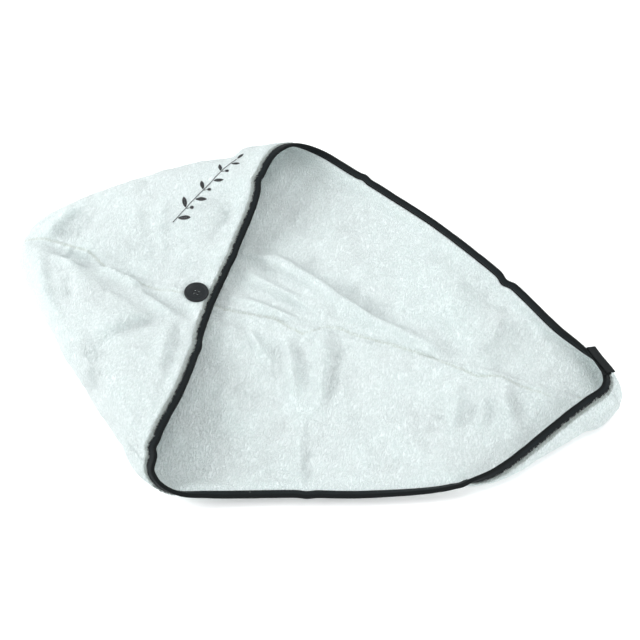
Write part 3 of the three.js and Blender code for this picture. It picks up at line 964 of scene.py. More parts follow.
@dataclass
class EdgeBinding:
    """The folded tape round the whole opening, and its line of stitches on both faces."""

    form: TowelForm
    step: float = 2.4
    nose_steps: int = 8
    lip_share: float = 0.3
    face_shares: tuple = ((0.72, 0.97), (0.4, 1.03))
    stitch_depth: float = 5.3
    stitch_length: float = 2.6
    stitch_pitch: float = 3.5
    stitch_width: float = 0.55
    waver: SoftField = field(default_factory=lambda: SoftField(21, 9, 40, 0.16))
    waver_depth: float = 1
    piece: bpy.types.Object = field(init=False)
    stitches: bpy.types.Object = field(init=False)

    def section(self) -> list[tuple[float, float]]:
        """The tape's section.

        Returns:
            Its depths into the cloth and heights over its middle, in mm.
        """
        form = self.form
        inside = form.bound_thickness / 2 + form.binding_clearance
        outside = inside + form.binding_thickness
        back = form.binding_clearance + form.binding_thickness
        width = form.binding_width
        nose = []
        for step in range(self.nose_steps + 1):
            angle = math.pi * (0.5 - step / self.nose_steps)
            nose.append((-back * math.cos(angle), outside * math.sin(angle)))
        lip = form.binding_thickness * self.lip_share
        half = [(width - lip, outside)]
        half += [(width * across, outside * over) for across, over in self.face_shares]
        far_side = [(depth, -height) for depth, height in reversed(half)]
        mouth = [(width, -outside + lip), (width, -inside - lip / 2), (width - lip, -inside)]
        slot = [(width / 2, -inside), (-form.binding_clearance, -inside)]
        back_again = [(depth, -height) for depth, height in reversed(mouth + slot)]
        ring = half + nose + far_side + mouth + slot + back_again
        return ring + ring[:1]

    def build(self) -> None:
        """Makes the tape and its stitches."""
        rows, along = self.form.rows_along(0, ROW_COUNT, self.step)
        place, into, normal, _ = self.form.edge_frame(rows)
        section = np.array(self.section())
        waver = self.waver.at(along, along * 0)
        waver[-1] = waver[0]
        wavering = section[:, 0] < self.waver_depth
        depth = section[:, 0][None, :, None] + (waver[:, None] * wavering)[..., None]
        points = place[:, None] + into[:, None] * depth + normal[:, None] * section[:, 1][None, :, None]
        span = np.linalg.norm(np.diff(section, axis=0), axis=-1)
        across = np.concatenate([[0], np.cumsum(span)])
        mesh_along, mesh_across = np.meshgrid(along, across, indexing="ij")
        depths = np.broadcast_to(section[:, 0], points.shape[:2])
        patch = Patch(points, np.stack([mesh_along, mesh_across], -1), {"depth": depths})
        self.piece = patched_object("edge_tape", self.form, [patch])
        self.stitches = self.stitch()

    def stitch(self) -> bpy.types.Object:
        """Makes one stitch after another on both faces of the tape.

        Returns:
            The object with all stitches.
        """
        form = self.form
        rows = form.rows_along(0, ROW_COUNT, self.stitch_pitch)[0][:-1]
        place, into, normal, ahead = form.edge_frame(rows)
        height = form.bound_thickness / 2 + form.binding_clearance + form.binding_thickness
        made = StrandMesh()
        for side in (-1, 1):
            middles = form.placed(place + into * self.stitch_depth + normal * (side * height))
            for middle, along, up in zip(middles, ahead, normal * side):
                made.add(middle, along, up, self.stitch_length, self.stitch_width)
        return made.finish("tape_stitches")

    def dress(self, tape: bpy.types.Material, thread: bpy.types.Material) -> None:
        """Gives tape and stitches their finishes and their place in the model.

        Args:
            tape: The tape's finish.
            thread: The stitches' finish.
        """
        attach(self.piece, tape, "binding_tape", "edge_binding")
        attach(self.stitches, thread, "binding_tape")


class StrandMesh:
    """Gathers many small bodies, copied from two patterns, into one mesh."""

    batch_size = 400
    flatness = 0.36
    tuft_tip = 0.15

    def __init__(self) -> None:
        """Makes the patterns, a round body and a cone of unit size, and starts with nothing gathered."""
        self.whole = bmesh.new()
        self.batch = bmesh.new()
        self.count = 0
        ball, cone = bmesh.new(), bmesh.new()
        bmesh.ops.create_uvsphere(ball, u_segments=8, v_segments=6, radius=1)
        bmesh.ops.create_cone(cone, segments=4, radius1=1, radius2=self.tuft_tip, depth=1)
        bmesh.ops.translate(cone, verts=cone.verts, vec=(0, 0, 0.5))
        self.ball, self.cone = bpy.data.meshes.new("ball"), bpy.data.meshes.new("cone")
        for made, mesh in ((ball, self.ball), (cone, self.cone)):
            settle(made)
            made.to_mesh(mesh)
            made.free()

    def add(
        self, middle: np.ndarray, along: np.ndarray, up: np.ndarray, length: float, width: float
    ) -> None:
        """Adds a strand of thread with rounded ends.

        Args:
            middle: Its middle, in metres.
            along: Direction along it.
            up: Direction in which it is flattened.
            length: Its length in mm.
            width: Its width in mm.
        """
        size = Matrix.Diagonal((length / 2 * MM, width / 2 * MM, width * self.flatness * MM, 1))
        turn = Matrix.Rotation(math.pi / 2, 4, "Y")
        self.copy(self.ball, self.frame(middle, along, up) @ size @ turn)

    def add_tuft(
        self, root: np.ndarray, along: np.ndarray, up: np.ndarray, length: float, width: float
    ) -> None:
        """Adds a pointed tuft of pile, standing on its root."""
        size = Matrix.Diagonal((width / 2 * MM, width / 2 * MM, length * MM, 1))
        self.copy(self.cone, self.frame(root, along, up) @ Matrix.Rotation(math.pi / 2, 4, "Y") @ size)

    def copy(self, pattern: bpy.types.Mesh, matrix: Matrix) -> None:
        """Adds a copy of a pattern, and moves a full batch to the whole.

        Args:
            pattern: The pattern.
            matrix: Its place, turn and size.
        """
        body = pattern.copy()
        body.transform(matrix)
        self.batch.from_mesh(body)
        bpy.data.meshes.remove(body)
        self.count += 1
        if self.count % self.batch_size == 0:
            self.flush()

    def frame(self, origin: np.ndarray, along: np.ndarray, up: np.ndarray) -> Matrix:
        """The matrix with X along a direction and Z as near to another as that leaves.

        Args:
            origin: Where its origin lies, in metres.
            along: Direction of X.
            up: Direction near Z.

        Returns:
            The matrix.
        """
        x = Vector(along).normalized()
        y = Vector(up).cross(x).normalized()
        rotation = Matrix((x, y, x.cross(y))).transposed()
        return Matrix.Translation(Vector(origin)) @ rotation.to_4x4()

    def flush(self) -> None:
        """Adds the batch to the whole and starts a new one."""
        carried = bpy.data.meshes.new("batch")
        self.batch.to_mesh(carried)
        self.batch.free()
        self.whole.from_mesh(carried)
        bpy.data.meshes.remove(carried)
        self.batch = bmesh.new()

    def finish(self, name: str) -> bpy.types.Object:
        """Makes the object and clears the patterns.

        Args:
            name: The object's name.

        Returns:
            The object with all strands.
        """
        self.flush()
        self.batch.free()
        for pattern in (self.ball, self.cone):
            bpy.data.meshes.remove(pattern)
        return mesh_object(name, self.whole)


@dataclass(frozen=True)
class FringeRun:
    """A stretch of the edge where pile hangs over the tape."""

    first_row: float
    last_row: float
    face: Face
    per_mm: float
    length: float


@dataclass
class PileFringe:
    """The ragged pile that reaches over the tape's edge."""

    form: TowelForm
    seed: int = 31
    width: float = 0.75
    depths: tuple = (0.2, 3.2)
    lengths: tuple = (0.55, 1.15)
    rises: tuple = (0.12, 0.5)
    root_height: float = 1.6
    root_slope: float = 0.35
    lean: float = 0.35
    runs: tuple = (
        FringeRun(7.5, 22.5, Face.OUTER, 6, 2.6),
        FringeRun(22.5, 33, Face.OUTER, 4, 2.8),
        FringeRun(0, 7.5, Face.OUTER, 4, 2.8),
    )
    piece: bpy.types.Object = field(init=False)

    def build(self) -> None:
        """Makes the tufts along every run."""
        random = np.random.default_rng(self.seed)
        made = StrandMesh()
        for run in self.runs:
            rows, along = self.form.rows_along(run.first_row, run.last_row, 1 / run.per_mm)
            place, into, normal, ahead = self.form.edge_frame(rows)
            count = len(rows)
            depth = self.form.binding_width + random.uniform(*self.depths, count)
            # Neighbouring tufts gather in longer and shorter clumps, and lean alike.
            clump = 0.6 + 0.4 * np.sin(along / 2.3 + 2 * np.sin(along / 7.1))
            length = run.length * random.uniform(*self.lengths, count) * (0.7 + 0.5 * clump)
            height = self.root_height + self.root_slope * np.clip(depth - self.form.binding_width, 0, 3)
            outward = normal * run.face.value
            roots = self.form.placed(place + into * depth[:, None] + outward * height[:, None])
            lean = random.normal(0, self.lean, count) + self.lean * np.sin(along / 5.3)
            rise = random.uniform(*self.rises, count)
            heads = -into + ahead * lean[:, None] + outward * rise[:, None]
            for root, head, up, tall in zip(roots, heads, outward, length):
                made.add_tuft(root, head, up, tall, self.width)
        self.piece = made.finish("pile_fringe")

    def dress(self, material: bpy.types.Material) -> None:
        """Gives the fringe its finish and its place in the model."""
        attach(self.piece, material, "fleece")


@dataclass
class Button:
    """A turned four-hole button with a raised rim."""

    form: TowelForm
    rim_width: float = 2.8
    dish: float = 1.1
    hole_diameter: float = 1.9
    hole_spacing: float = 4
    hole_taper: tuple = (0.9, 1.25)
    hole_sides: int = 24
    thread_width: float = 0.5
    thread_overlap: float = 0.9
    thread_spread: float = 0.22
    thread_sink: float = 0.05
    sides: int = 96
    piece: bpy.types.Object = field(init=False)
    stitching: bpy.types.Object = field(init=False)

    def profile(self) -> list[tuple[float, float]]:
        """The turned outline from the middle of the underside round to the middle of the top.

        Returns:
            Its places out from the axis and up, in mm.
        """
        radius = self.form.button_diameter / 2
        top = self.form.button_thickness
        outline = [(0, 0), (radius - 2.2, 0), (radius - 1.1, 0.25), (radius - 0.35, 0.9), (radius, 1.7)]
        outline += [(radius, 2.3), (radius - 0.3, 3.05), (radius - 0.9, 3.5), (radius - 1.6, top)]
        inner = radius - self.rim_width
        outline += [(inner + 0.5, 3.45), (inner, 3.15), (inner - 0.8, 2.75), (inner - 1.9, top - self.dish)]
        return outline + [(inner - 5, top - self.dish - 0.12), (0, top - self.dish - 0.15)]

    def frame(self) -> Matrix:
        """Where the button sits on its seat.

        Returns:
            The matrix.
        """
        normal = Vector((-self.form.seat_slope, 0, 1)).normalized()
        base = self.form.placed(self.form.seat) + np.array(normal) * self.form.button_gap * MM
        tilt = Vector((0, 0, 1)).rotation_difference(normal).to_matrix().to_4x4()
        return Matrix.Translation(Vector(base)) @ tilt

    def build(self) -> None:
        """Turns the button, drills its holes and lays the thread that holds it."""
        made = bmesh.new()
        points = [made.verts.new((across * MM, 0, up * MM)) for across, up in self.profile()]
        edges = [made.edges.new(pair) for pair in zip(points, points[1:])]
        bmesh.ops.spin(
            made, geom=points + edges, axis=(0, 0, 1), cent=(0, 0, 0), steps=self.sides, angle=math.tau,
            use_merge=True,
        )
        bmesh.ops.remove_doubles(made, verts=made.verts, dist=2e-6)
        bmesh.ops.recalc_face_normals(made, faces=made.faces)
        settle(made)
        body = mesh_object("button_body", made)
        drill = self.drill()
        cut = body.modifiers.new("holes", "BOOLEAN")
        cut.object = drill
        cut.solver = "EXACT"
        holed = bpy.data.meshes.new_from_object(body.evaluated_get(bpy.context.evaluated_depsgraph_get()))
        body.modifiers.clear()
        bpy.data.objects.remove(drill)
        body.data = holed
        holed.transform(self.frame())
        self.piece = body
        self.stitching = self.thread()

    def drill(self) -> bpy.types.Object:
        """The four bores, a little wider at the top.

        Returns:
            The object to cut away.
        """
        made = bmesh.new()
        radius = self.hole_diameter / 2 * MM
        for x in (-0.5, 0.5):
            for y in (-0.5, 0.5):
                place = Matrix.Translation((x * self.hole_spacing * MM, y * self.hole_spacing * MM, 0))
                bmesh.ops.create_cone(
                    made, cap_ends=True, segments=self.hole_sides, radius1=radius * self.hole_taper[0],
                    radius2=radius * self.hole_taper[1], depth=self.form.button_thickness * 3 * MM,
                    matrix=place,
                )
        settle(made)
        return mesh_object("drill", made)

    def thread(self) -> bpy.types.Object:
        """Two turns of thread between each pair of holes, sunk a little in the dish.

        Returns:
            The thread.
        """
        made = StrandMesh()
        frame = self.frame()
        level = self.form.button_thickness - self.dish - self.thread_sink
        along, up = (frame.to_3x3() @ Vector(axis) for axis in ((1, 0, 0), (0, 0, 1)))
        length = self.hole_spacing + self.thread_overlap
        for y in (-0.5, 0.5):
            for offset in (-self.thread_spread, self.thread_spread):
                middle = frame @ Vector((0, (y * self.hole_spacing + offset) * MM, level * MM))
                made.add(middle, along, up, length, self.thread_width)
        return made.finish("button_thread")

    def dress(self, plastic: bpy.types.Material, thread: bpy.types.Material) -> None:
        """Gives button and thread their finishes and their place in the model.

        Args:
            plastic: The button's finish.
            thread: The thread's finish.
        """
        self.piece.data.materials.clear()
        attach(self.piece, plastic, "button_plastic", "button")
        attach(self.stitching, thread, "button_plastic")


@dataclass
class ElasticLoop:
    """A flat ribbed elastic folded back on itself, which lies on the tape beside the tail tip."""

    form: TowelForm
    length: float = 36
    width: float = 10
    thickness: float = 1.2
    opening: float = 1.6
    clearance: float = 0.35
    start: float = 9
    inset: float = 4
    fan: float = 3
    droop: float = 0.25
    sag: float = 0.35
    soft_share: float = 0.35
    face_steps: int = 12
    steps: int = 80
    piece: bpy.types.Object = field(init=False)

    def seat(self) -> tuple[np.ndarray, np.ndarray, np.ndarray, np.ndarray]:
        """Where the loop starts, high enough to clear the tape.

        Returns:
            Its origin, and its directions along the edge, up and away from the opening.
        """
        form = self.form
        fine, travelled = form.rows_along(0, 6, 0.5)
        first, last = np.interp([self.start, self.start + self.length], travelled, fine)
        start, end = form.edge(np.array([first, last]))
        along = unit(end - start)
        away = unit(np.array([along[1], -along[0], -self.droop]))
        up = unit(np.cross(away, along))
        away = np.cross(along, up)
        rows = np.linspace(math.floor(first), math.ceil(last), 40)
        place, into, normal, _ = form.edge_frame(rows)
        inside = form.bound_thickness / 2 + form.binding_clearance
        outside = inside + form.binding_thickness
        depths, heights = (0, form.binding_width), (-outside, outside)
        corners = [place + into * depth + normal * height for depth in depths for height in heights]
        highest = max(float(((corner - start) @ up).max()) for corner in corners)
        rise = highest + self.clearance + self.opening / 2 + self.thickness
        return start - away * self.inset + up * rise, along, up, away

    def build(self) -> None:
        """Sweeps a rounded section along the hairpin."""
        origin, along, up, away = self.seat()
        radius = (self.opening + self.thickness) / 2
        bend = self.length - radius - self.thickness / 2
        turn = radius * math.pi
        travel = np.linspace(0, 2 * bend + turn, self.steps)
        angle = np.clip((travel - bend) / turn - 0.5, -0.5, 0.5) * math.pi
        x = np.where(travel < bend, travel, np.where(travel > bend + turn, 2 * bend + turn - travel, bend))
        swing = self.fan * ease(np.clip((travel - bend - turn) / bend, 0, 1))
        section = self.section()
        points = []
        for side, across in section:
            reach = radius + side
            sag = self.sag * np.sin(np.pi * np.clip(x / bend, 0, 1)) * np.sign(angle)
            flat = origin + np.outer(x + reach * np.cos(angle), along)
            flat = flat + np.outer(reach * np.sin(angle) - np.maximum(sag, 0), up)
            points.append(flat + np.outer(swing + across, away))
        ring = np.stack(points, axis=1)
        widths = np.array([across for _, across in section])
        uvs = np.stack(np.broadcast_arrays(travel[:, None], widths[None, :]), -1)
        self.piece = patched_object("elastic_band", self.form, [Patch(ring, uvs, flip=True)])

    def section(self) -> list[tuple[float, float]]:
        """The band's rounded section.

        Returns:
            Its heights over the band's middle and places across it, in mm.
        """
        half, soft = self.thickness / 2, self.thickness * self.soft_share
        top = [(half, across) for across in np.linspace(soft, self.width - soft, self.face_steps)]
        bottom = [(-half, across) for across in np.linspace(self.width - soft, soft, self.face_steps)]
        edge = [(half / 2, self.width), (-half / 2, self.width)]
        back = [(-half / 2, 0.0), (half / 2, 0.0)]
        ring = top + edge + bottom + back
        return ring + ring[:1]

    def dress(self, material: bpy.types.Material) -> None:
        """Gives the band its finish and its place in the model."""
        attach(self.piece, material, "elastic", "elastic_loop")


@dataclass
class LeafSprig:
    """A sprig of small leaves and berries in satin stitch, sewn on the flap."""

    form: TowelForm
    stem: tuple = ((158, 72), (166, 92), (173, 112), (181, 134), (188, 156), (196, 178))
    leaf_length: float = 14
    leaf_width: float = 5.4
    strand_pitch: float = 0.62
    thread_width: float = 0.75
    leaf_places: tuple = (0.06, 0.2, 0.34, 0.48, 0.62, 0.76, 0.9)
    leaf_angle: float = 0.85
    leaf_taper: float = 0.35
    leaf_gap: float = 1.5
    leaf_slant: float = 0.55
    tip_size: float = 0.75
    stem_strands: int = 45
    stem_width: float = 1.0
    stem_overlap: float = 1.25
    berry_leaves: tuple = (1, 3, 5)
    berry_angle: float = 0.75
    berry_stalk: float = 4.8
    berry_radius: float = 2.3
    sink: float = 0.1
    surface: BVHTree = field(init=False)
    made: StrandMesh = field(init=False)
    piece: bpy.types.Object = field(init=False)

    def build(self, surface: BVHTree) -> None:
        """Sews the sprig onto a surface.

        Args:
            surface: The surface, seen from above.
        """
        self.surface = surface
        self.made = StrandMesh()
        path = np.array(self.stem, float)
        shares = np.linspace(0, 1, len(path))
        fine = np.linspace(0, 1, self.stem_strands + 1)
        line = np.stack([np.interp(fine, shares, path[:, 0]), np.interp(fine, shares, path[:, 1])], -1)
        for start, end in zip(line[:-1], line[1:]):
            length = np.linalg.norm(end - start) * self.stem_overlap
            self.sew((start + end) / 2, end - start, length, self.stem_width)
        heading = math.atan2(path[-1, 1] - path[0, 1], path[-1, 0] - path[0, 0])
        for index, share in enumerate(self.leaf_places):
            base = np.array([np.interp(share, shares, path[:, 0]), np.interp(share, shares, path[:, 1])])
            side = 1 if index % 2 else -1
            self.leaf(base, heading + side * self.leaf_angle, 1 - self.leaf_taper * share)
            if index in self.berry_leaves:
                self.berry(base, heading - side * self.berry_angle)
        last_heading = math.atan2(path[-1, 1] - path[-2, 1], path[-1, 0] - path[-2, 0])
        self.leaf(path[-1], last_heading, self.tip_size)
        self.piece = self.made.finish("leaf_sprig")

    def leaf(self, base: np.ndarray, heading: float, size: float) -> None:
        """Sews one leaf: slanting strands on both sides of its rib.

        Args:
            base: Where its stalk leaves the stem.
            heading: Direction of its rib, in radians.
            size: Its size against a full leaf.
        """
        rib = np.array([math.cos(heading), math.sin(heading)])
        across = np.array([-rib[1], rib[0]])
        start = base + rib * self.leaf_gap
        length = self.leaf_length * size
        for place in np.arange(self.strand_pitch / 2, length, self.strand_pitch):
            share = place / length
            half = self.leaf_width * size / 2 * math.sin(math.pi * share**0.8) ** 0.8
            for side in (-1, 1):
                run = across * side * half + rib * half * self.leaf_slant
                reach = float(np.linalg.norm(run)) + 0.5
                self.sew(start + rib * place + run / 2, run, reach, self.thread_width)

    def berry(self, base: np.ndarray, heading: float) -> None:
        """Sews one round berry on a short stalk.

        Args:
            base: Where its stalk leaves the stem.
            heading: Direction of its stalk, in radians.
        """
        out = np.array([math.cos(heading), math.sin(heading)])
        self.sew(base + out * self.berry_stalk / 2, out, self.berry_stalk, self.thread_width)
        middle = base + out * (4.6 + self.berry_radius)
        for place in np.arange(-self.berry_radius + 0.3, self.berry_radius, self.strand_pitch):
            half = math.sqrt(max(self.berry_radius**2 - place**2, 0.05))
            self.sew(middle + out * place, np.array([-out[1], out[0]]), 2 * half, self.thread_width)

    def sew(self, middle: np.ndarray, run: np.ndarray, length: float, width: float) -> None:
        """Sews one strand.

        Args:
            middle: Its middle in plan, in the layout frame.
            run: Its direction in plan.
            length: Its length in mm.
            width: Its width in mm.
        """
        above = Vector(self.form.placed(np.array([middle[0], middle[1], 200.0])))
        hit, normal, _, _ = self.surface.ray_cast(above, Vector((0, 0, -1)))
        if hit is None:
            return
        normal = normal if normal.z > 0 else -normal
        along = Vector((run[0], run[1], 0)).normalized()
        along = (along - normal * along.dot(normal)).normalized()
        lift = (width * 0.3 - self.sink) * MM
        self.made.add(np.array(hit + normal * lift), np.array(along), np.array(normal), length, width)

    def dress(self, material: bpy.types.Material) -> None:
        """Gives the sprig its finish and its place in the model."""
        attach(self.piece, material, "binding_tape")


class Graph:
    """Adds and links the nodes of one node tree."""

    def __init__(self, tree: bpy.types.NodeTree) -> None:
        """Clears the tree."""
        self.tree = tree
        tree.nodes.clear()

    def add(self, kind: str, settings: dict | None = None, **inputs: object) -> bpy.types.Node:
        """Adds a node.

        Args:
            kind: The node's type without its ShaderNode prefix.
            settings: Values of its own properties.
            **inputs: Sockets to link, or constants to set, by the input's name with _ for spaces.

        Returns:
            The node.
        """
        node = self.tree.nodes.new(kind if kind.startswith("Node") else "ShaderNode" + kind)
        for name, value in (settings or {}).items():
            setattr(node, name, value)
        for name, value in inputs.items():
            self.feed(node.inputs[name.replace("_", " ")], value)
        return node

    def feed(self, socket: bpy.types.NodeSocket, value: object) -> None:
        """Links a socket, or sets a constant.

        Args:
            socket: The socket to feed.
            value: An output to link, or the constant.
        """
        if isinstance(value, bpy.types.NodeSocket):
            self.tree.links.new(value, socket)
        else:
            socket.default_value = value

    def math(self, operation: str, *values: object) -> bpy.types.NodeSocket:
        """The result of a sum on numbers.

        Args:
            operation: Blender's name for the sum.
            *values: Outputs or constants.

        Returns:
            The output.
        """
        node = self.add("Math", {"operation": operation})
        for socket, value in zip(node.inputs, values):
            self.feed(socket, value)
        return node.outputs[0]

    def mix(self, factor: object, first: object, second: object) -> bpy.types.NodeSocket:
        """The result of mixing two colours.

        Args:
            factor: The share of the second.
            first: The first colour.
            second: The second colour.

        Returns:
            The output.
        """
        node = self.add("Mix", {"data_type": "RGBA", "clamp_factor": True})
        self.feed(node.inputs[0], factor)
        self.feed(node.inputs[6], first)
        self.feed(node.inputs[7], second)
        return node.outputs[2]

    def between(
        self, value: object, low: float, high: float, to_low: float = 0, to_high: float = 1
    ) -> bpy.types.NodeSocket:
        """A value carried from one range to another, smoothly at both ends.

        Args:
            value: The value.
            low: Where the first range starts.
            high: Where it ends.
            to_low: Where the second range starts.
            to_high: Where it ends.

        Returns:
            The output.
        """
        node = self.add("MapRange", {"interpolation_type": "SMOOTHSTEP"})
        for socket, fed in zip(node.inputs, (value, low, high, to_low, to_high)):
            self.feed(socket, fed)
        return node.outputs[0]


def new_group(name: str, inputs: dict[str, tuple[str, object]], outputs: tuple[str, ...]) -> tuple:
    """A new shader node group of values.

    Args:
        name: The group's name.
        inputs: Socket type and default value by name.
        outputs: Names of its value outputs.

    Returns:
        The group, its graph, its input node and its output node.
    """
    group = bpy.data.node_groups.new(name, "ShaderNodeTree")
    for socket, (kind, value) in inputs.items():
        made = group.interface.new_socket(socket, in_out="INPUT", socket_type=kind)
        if value is not None:
            made.default_value = value
    for socket in outputs:
        group.interface.new_socket(socket, in_out="OUTPUT", socket_type="NodeSocketFloat")
    graph = Graph(group)
    return group, graph, graph.add("NodeGroupInput"), graph.add("NodeGroupOutput")


def pile_group() -> bpy.types.NodeTree:
    """The shared look of pile: wavy clumps, finer strands in them and broad uneven brushing.

    Returns:
        The group, with its height, a mask for painted shade (0 in the pile's hollows, 1 on its tips) and
        the patches of its brushing.
    """
    group, graph, given, out = new_group(
        "Pile",
        {"Vector": ("NodeSocketVector", None), "Clump": ("NodeSocketFloat", 260.0)},
        ("Height", "Shade", "Patch"),
    )
    vector, clump = given.outputs["Vector"], given.outputs["Clump"]
    broad = graph.add("TexNoise", Vector=vector, Scale=16.0, Detail=3.0, Roughness=0.55)
    bend = graph.add("TexNoise", Vector=vector, Scale=70.0, Detail=2.0)
    bent = graph.add("VectorMath", {"operation": "MULTIPLY_ADD"})
    graph.feed(bent.inputs[0], bend.outputs["Color"])
    graph.feed(bent.inputs[1], (0.006, 0.006, 0.006))
    graph.feed(bent.inputs[2], vector)
    combed = graph.add("Mapping", Vector=bent.outputs[0])
    graph.feed(combed.inputs["Rotation"], (0.0, 0.0, 0.6))
    graph.feed(combed.inputs["Scale"], (1.0, 0.36, 1.0))
    along = combed.outputs[0]
    clumps = graph.add("TexNoise", Vector=along, Scale=clump, Detail=3.0, Roughness=0.6, Distortion=0.4)
    fine = graph.math("MULTIPLY", clump, 3.4)
    strands = graph.add("TexNoise", Vector=along, Scale=fine, Detail=2.0, Roughness=0.6, Distortion=0.7)
    coarse = graph.math("MULTIPLY", graph.between(clumps.outputs["Fac"], 0.3, 0.7), 0.75)
    height = graph.math("ADD", coarse, graph.math("MULTIPLY", strands.outputs[0], 0.35))
    graph.feed(out.inputs["Height"], height)
    # Shade masks painted shade: low in the hollows of the pile, high on its tips.
    graph.feed(out.inputs["Shade"], graph.between(height, 0.25, 0.85))
    graph.feed(out.inputs["Patch"], graph.between(broad.outputs["Fac"], 0.35, 0.65))
    return group


def rib_group() -> bpy.types.NodeTree:
    """The shared look of woven tape: fine ribs across it, with a little fuzz.

    Returns:
        The group, with its height and its fuzz.
    """
    group, graph, given, out = new_group(
        "Ribs",
        {"Vector": ("NodeSocketVector", None), "Pitch": ("NodeSocketFloat", 0.0008)},
        ("Height", "Fuzz"),
    )
    apart = graph.add("SeparateXYZ", Vector=given.outputs["Vector"])
    turns = graph.math("DIVIDE", apart.outputs[0], given.outputs["Pitch"])
    wave = graph.math("SINE", graph.math("MULTIPLY", turns, math.tau))
    across = graph.math("SINE", graph.math("MULTIPLY", apart.outputs[1], math.tau / 0.0009))
    fuzz = graph.add("TexNoise", Vector=given.outputs["Vector"], Scale=900.0, Detail=3.0, Roughness=0.65)
    woven = graph.math("ADD", graph.math("MULTIPLY", wave, 0.5), graph.math("MULTIPLY", across, 0.22))
    graph.feed(out.inputs["Height"], graph.math("ADD", woven, fuzz.outputs["Fac"]))
    graph.feed(out.inputs["Fuzz"], fuzz.outputs["Fac"])
    return group


@dataclass(frozen=True)
class Finish:
    """What all finishes share: a name, the strength and depth in metres of the relief, and the gloss."""

    name: str
    relief: float = 0.5
    depth: float = 0.0002
    roughness: float = 0.6
    specular: float = 0.13

    def start(self) -> tuple[bpy.types.Material, Graph]:
        """Makes a new material.

        Returns:
            The material and its empty graph.
        """
        material = bpy.data.materials.new(self.name)
        material.use_nodes = True
        return material, Graph(material.node_tree)

    def end(self, graph: Graph, colour: object, height: object, **inputs: object) -> None:
        """Adds the bump, the Principled BSDF and the output.

        Args:
            graph: The material's graph.
            colour: Its colour, or the output that gives it.
            height: The output that gives its relief.
            **inputs: Further inputs of the shader, or others in place of the finish's own.
        """
        bump = graph.add("Bump", Height=height, Strength=self.relief, Distance=self.depth)
        plain = {"Roughness": self.roughness, "Specular_IOR_Level": self.specular}
        shader = graph.add("BsdfPrincipled", Base_Color=colour, Normal=bump.outputs[0], **(plain | inputs))
        graph.add("OutputMaterial", Surface=shader.outputs[0])


@dataclass(frozen=True)
class Fleece(Finish):
    """Off-white coral fleece with soft clumps, painted greenish shade in its hollows and along its seam,
    and a little sheen.
    """

    # high and low: the pile's tips and its hollows, the low colour being painted shade
    high: tuple = (0.85, 0.955, 0.95, 1)
    low: tuple = (0.68, 0.785, 0.775, 1)
    brushed: tuple = (0.86, 0.945, 0.94, 1)
    brushing: float = 0.16
    # seam: painted shade in the groove along the centre seam, at the distances in mm given next
    seam: tuple = (0.56, 0.63, 0.56, 1)
    seam_shade_reach: tuple = (0.3, 2.8)
    seam_shade_strength: float = 0.6
    clump: float = 760.0
    relief: float = 0.85
    depth: float = 0.0032
    roughness: float = 0.95
    specular: float = 0.15
    subsurface: float = 0.22
    radius: tuple = (0.008, 0.0085, 0.008)

    def build(self, pile: bpy.types.NodeTree) -> bpy.types.Material:
        """Makes the material.

        Args:
            pile: The shared group of pile.

        Returns:
            The material.
        """
        material, graph = self.start()
        place = graph.add("TexCoord").outputs["Object"]
        look = graph.add("Group", {"node_tree": pile}, Vector=place, Clump=self.clump)
        # Painted shade: darker in the hollows of the pile, lighter on its tips.
        colour = graph.mix(look.outputs["Shade"], self.low, self.high)
        brushed = graph.math("MULTIPLY", look.outputs["Patch"], self.brushing)
        colour = graph.mix(brushed, colour, self.brushed)
        # Painted shade along the groove of the centre seam, stronger where the pile lies low.
        from_seam = graph.add("Attribute", {"attribute_name": "from_seam"}).outputs["Fac"]
        line = graph.between(from_seam, *self.seam_shade_reach, self.seam_shade_strength, 0)
        painted_seam_shade = graph.math("MULTIPLY", line, graph.between(look.outputs["Shade"], 0.9, 0.2, 0.45, 1))
        colour = graph.mix(painted_seam_shade, colour, self.seam)
        self.end(
            graph, colour, look.outputs["Height"], Sheen_Weight=0.35, Sheen_Roughness=0.6,
            Subsurface_Weight=self.subsurface, Subsurface_Radius=self.radius, Subsurface_Scale=1.0,
        )
        return material


@dataclass(frozen=True)
class Tape(Finish):
    """Near-black binding tape with painted sheen on the middle of each face, fine ribs and a few specks of
    lint.
    """

    dark: tuple = (0.0025, 0.004, 0.0045, 1)
    # light: painted sheen on the flat middle of each face
    light: tuple = (0.0065, 0.0105, 0.012, 1)
    lint: tuple = (0.55, 0.58, 0.57, 1)
    pitch: float = 0.0009

    def build(self, ribs: bpy.types.NodeTree) -> bpy.types.Material:
        """Makes the material.

        Args:
            ribs: The shared group of woven ribs.

        Returns:
            The material.
        """
        material, graph = self.start()
        place = graph.add("UVMap", {"uv_map": "Cloth"}).outputs[0]
        look = graph.add("Group", {"node_tree": ribs}, Vector=place, Pitch=self.pitch)
        # Painted sheen: lighter on the flat middle of each face, darker towards its fold and mouth, in
        # uneven patches.
        depth = graph.add("Attribute", {"attribute_name": "depth"}).outputs["Fac"]
        rise = graph.between(depth, 0.2, 2.4)
        fall = graph.between(depth, 4.2, 5.4, 1, 0)
        band = graph.math("MULTIPLY", rise, fall)
        patchy_sheen = graph.add("TexNoise", Vector=place, Scale=60.0, Detail=3.0)
        band = graph.math("MULTIPLY", band, graph.between(patchy_sheen.outputs["Fac"], 0.25, 0.75, 0.45, 1))
        colour = graph.mix(band, self.dark, self.light)
        specks = graph.add("TexVoronoi", Vector=place, Scale=160.0, Randomness=1.0)
        chance = graph.add("TexWhiteNoise", {"noise_dimensions": "3D"}, Vector=specks.outputs["Position"])
        few = graph.math("LESS_THAN", chance.outputs["Value"], 0.035)
        near = graph.between(specks.outputs["Distance"], 0.05, 0.12, 1, 0)
        colour = graph.mix(graph.math("MULTIPLY", few, near), colour, self.lint)
        self.end(graph, colour, look.outputs["Height"], Sheen_Weight=0.02, Sheen_Roughness=0.4)
        return material


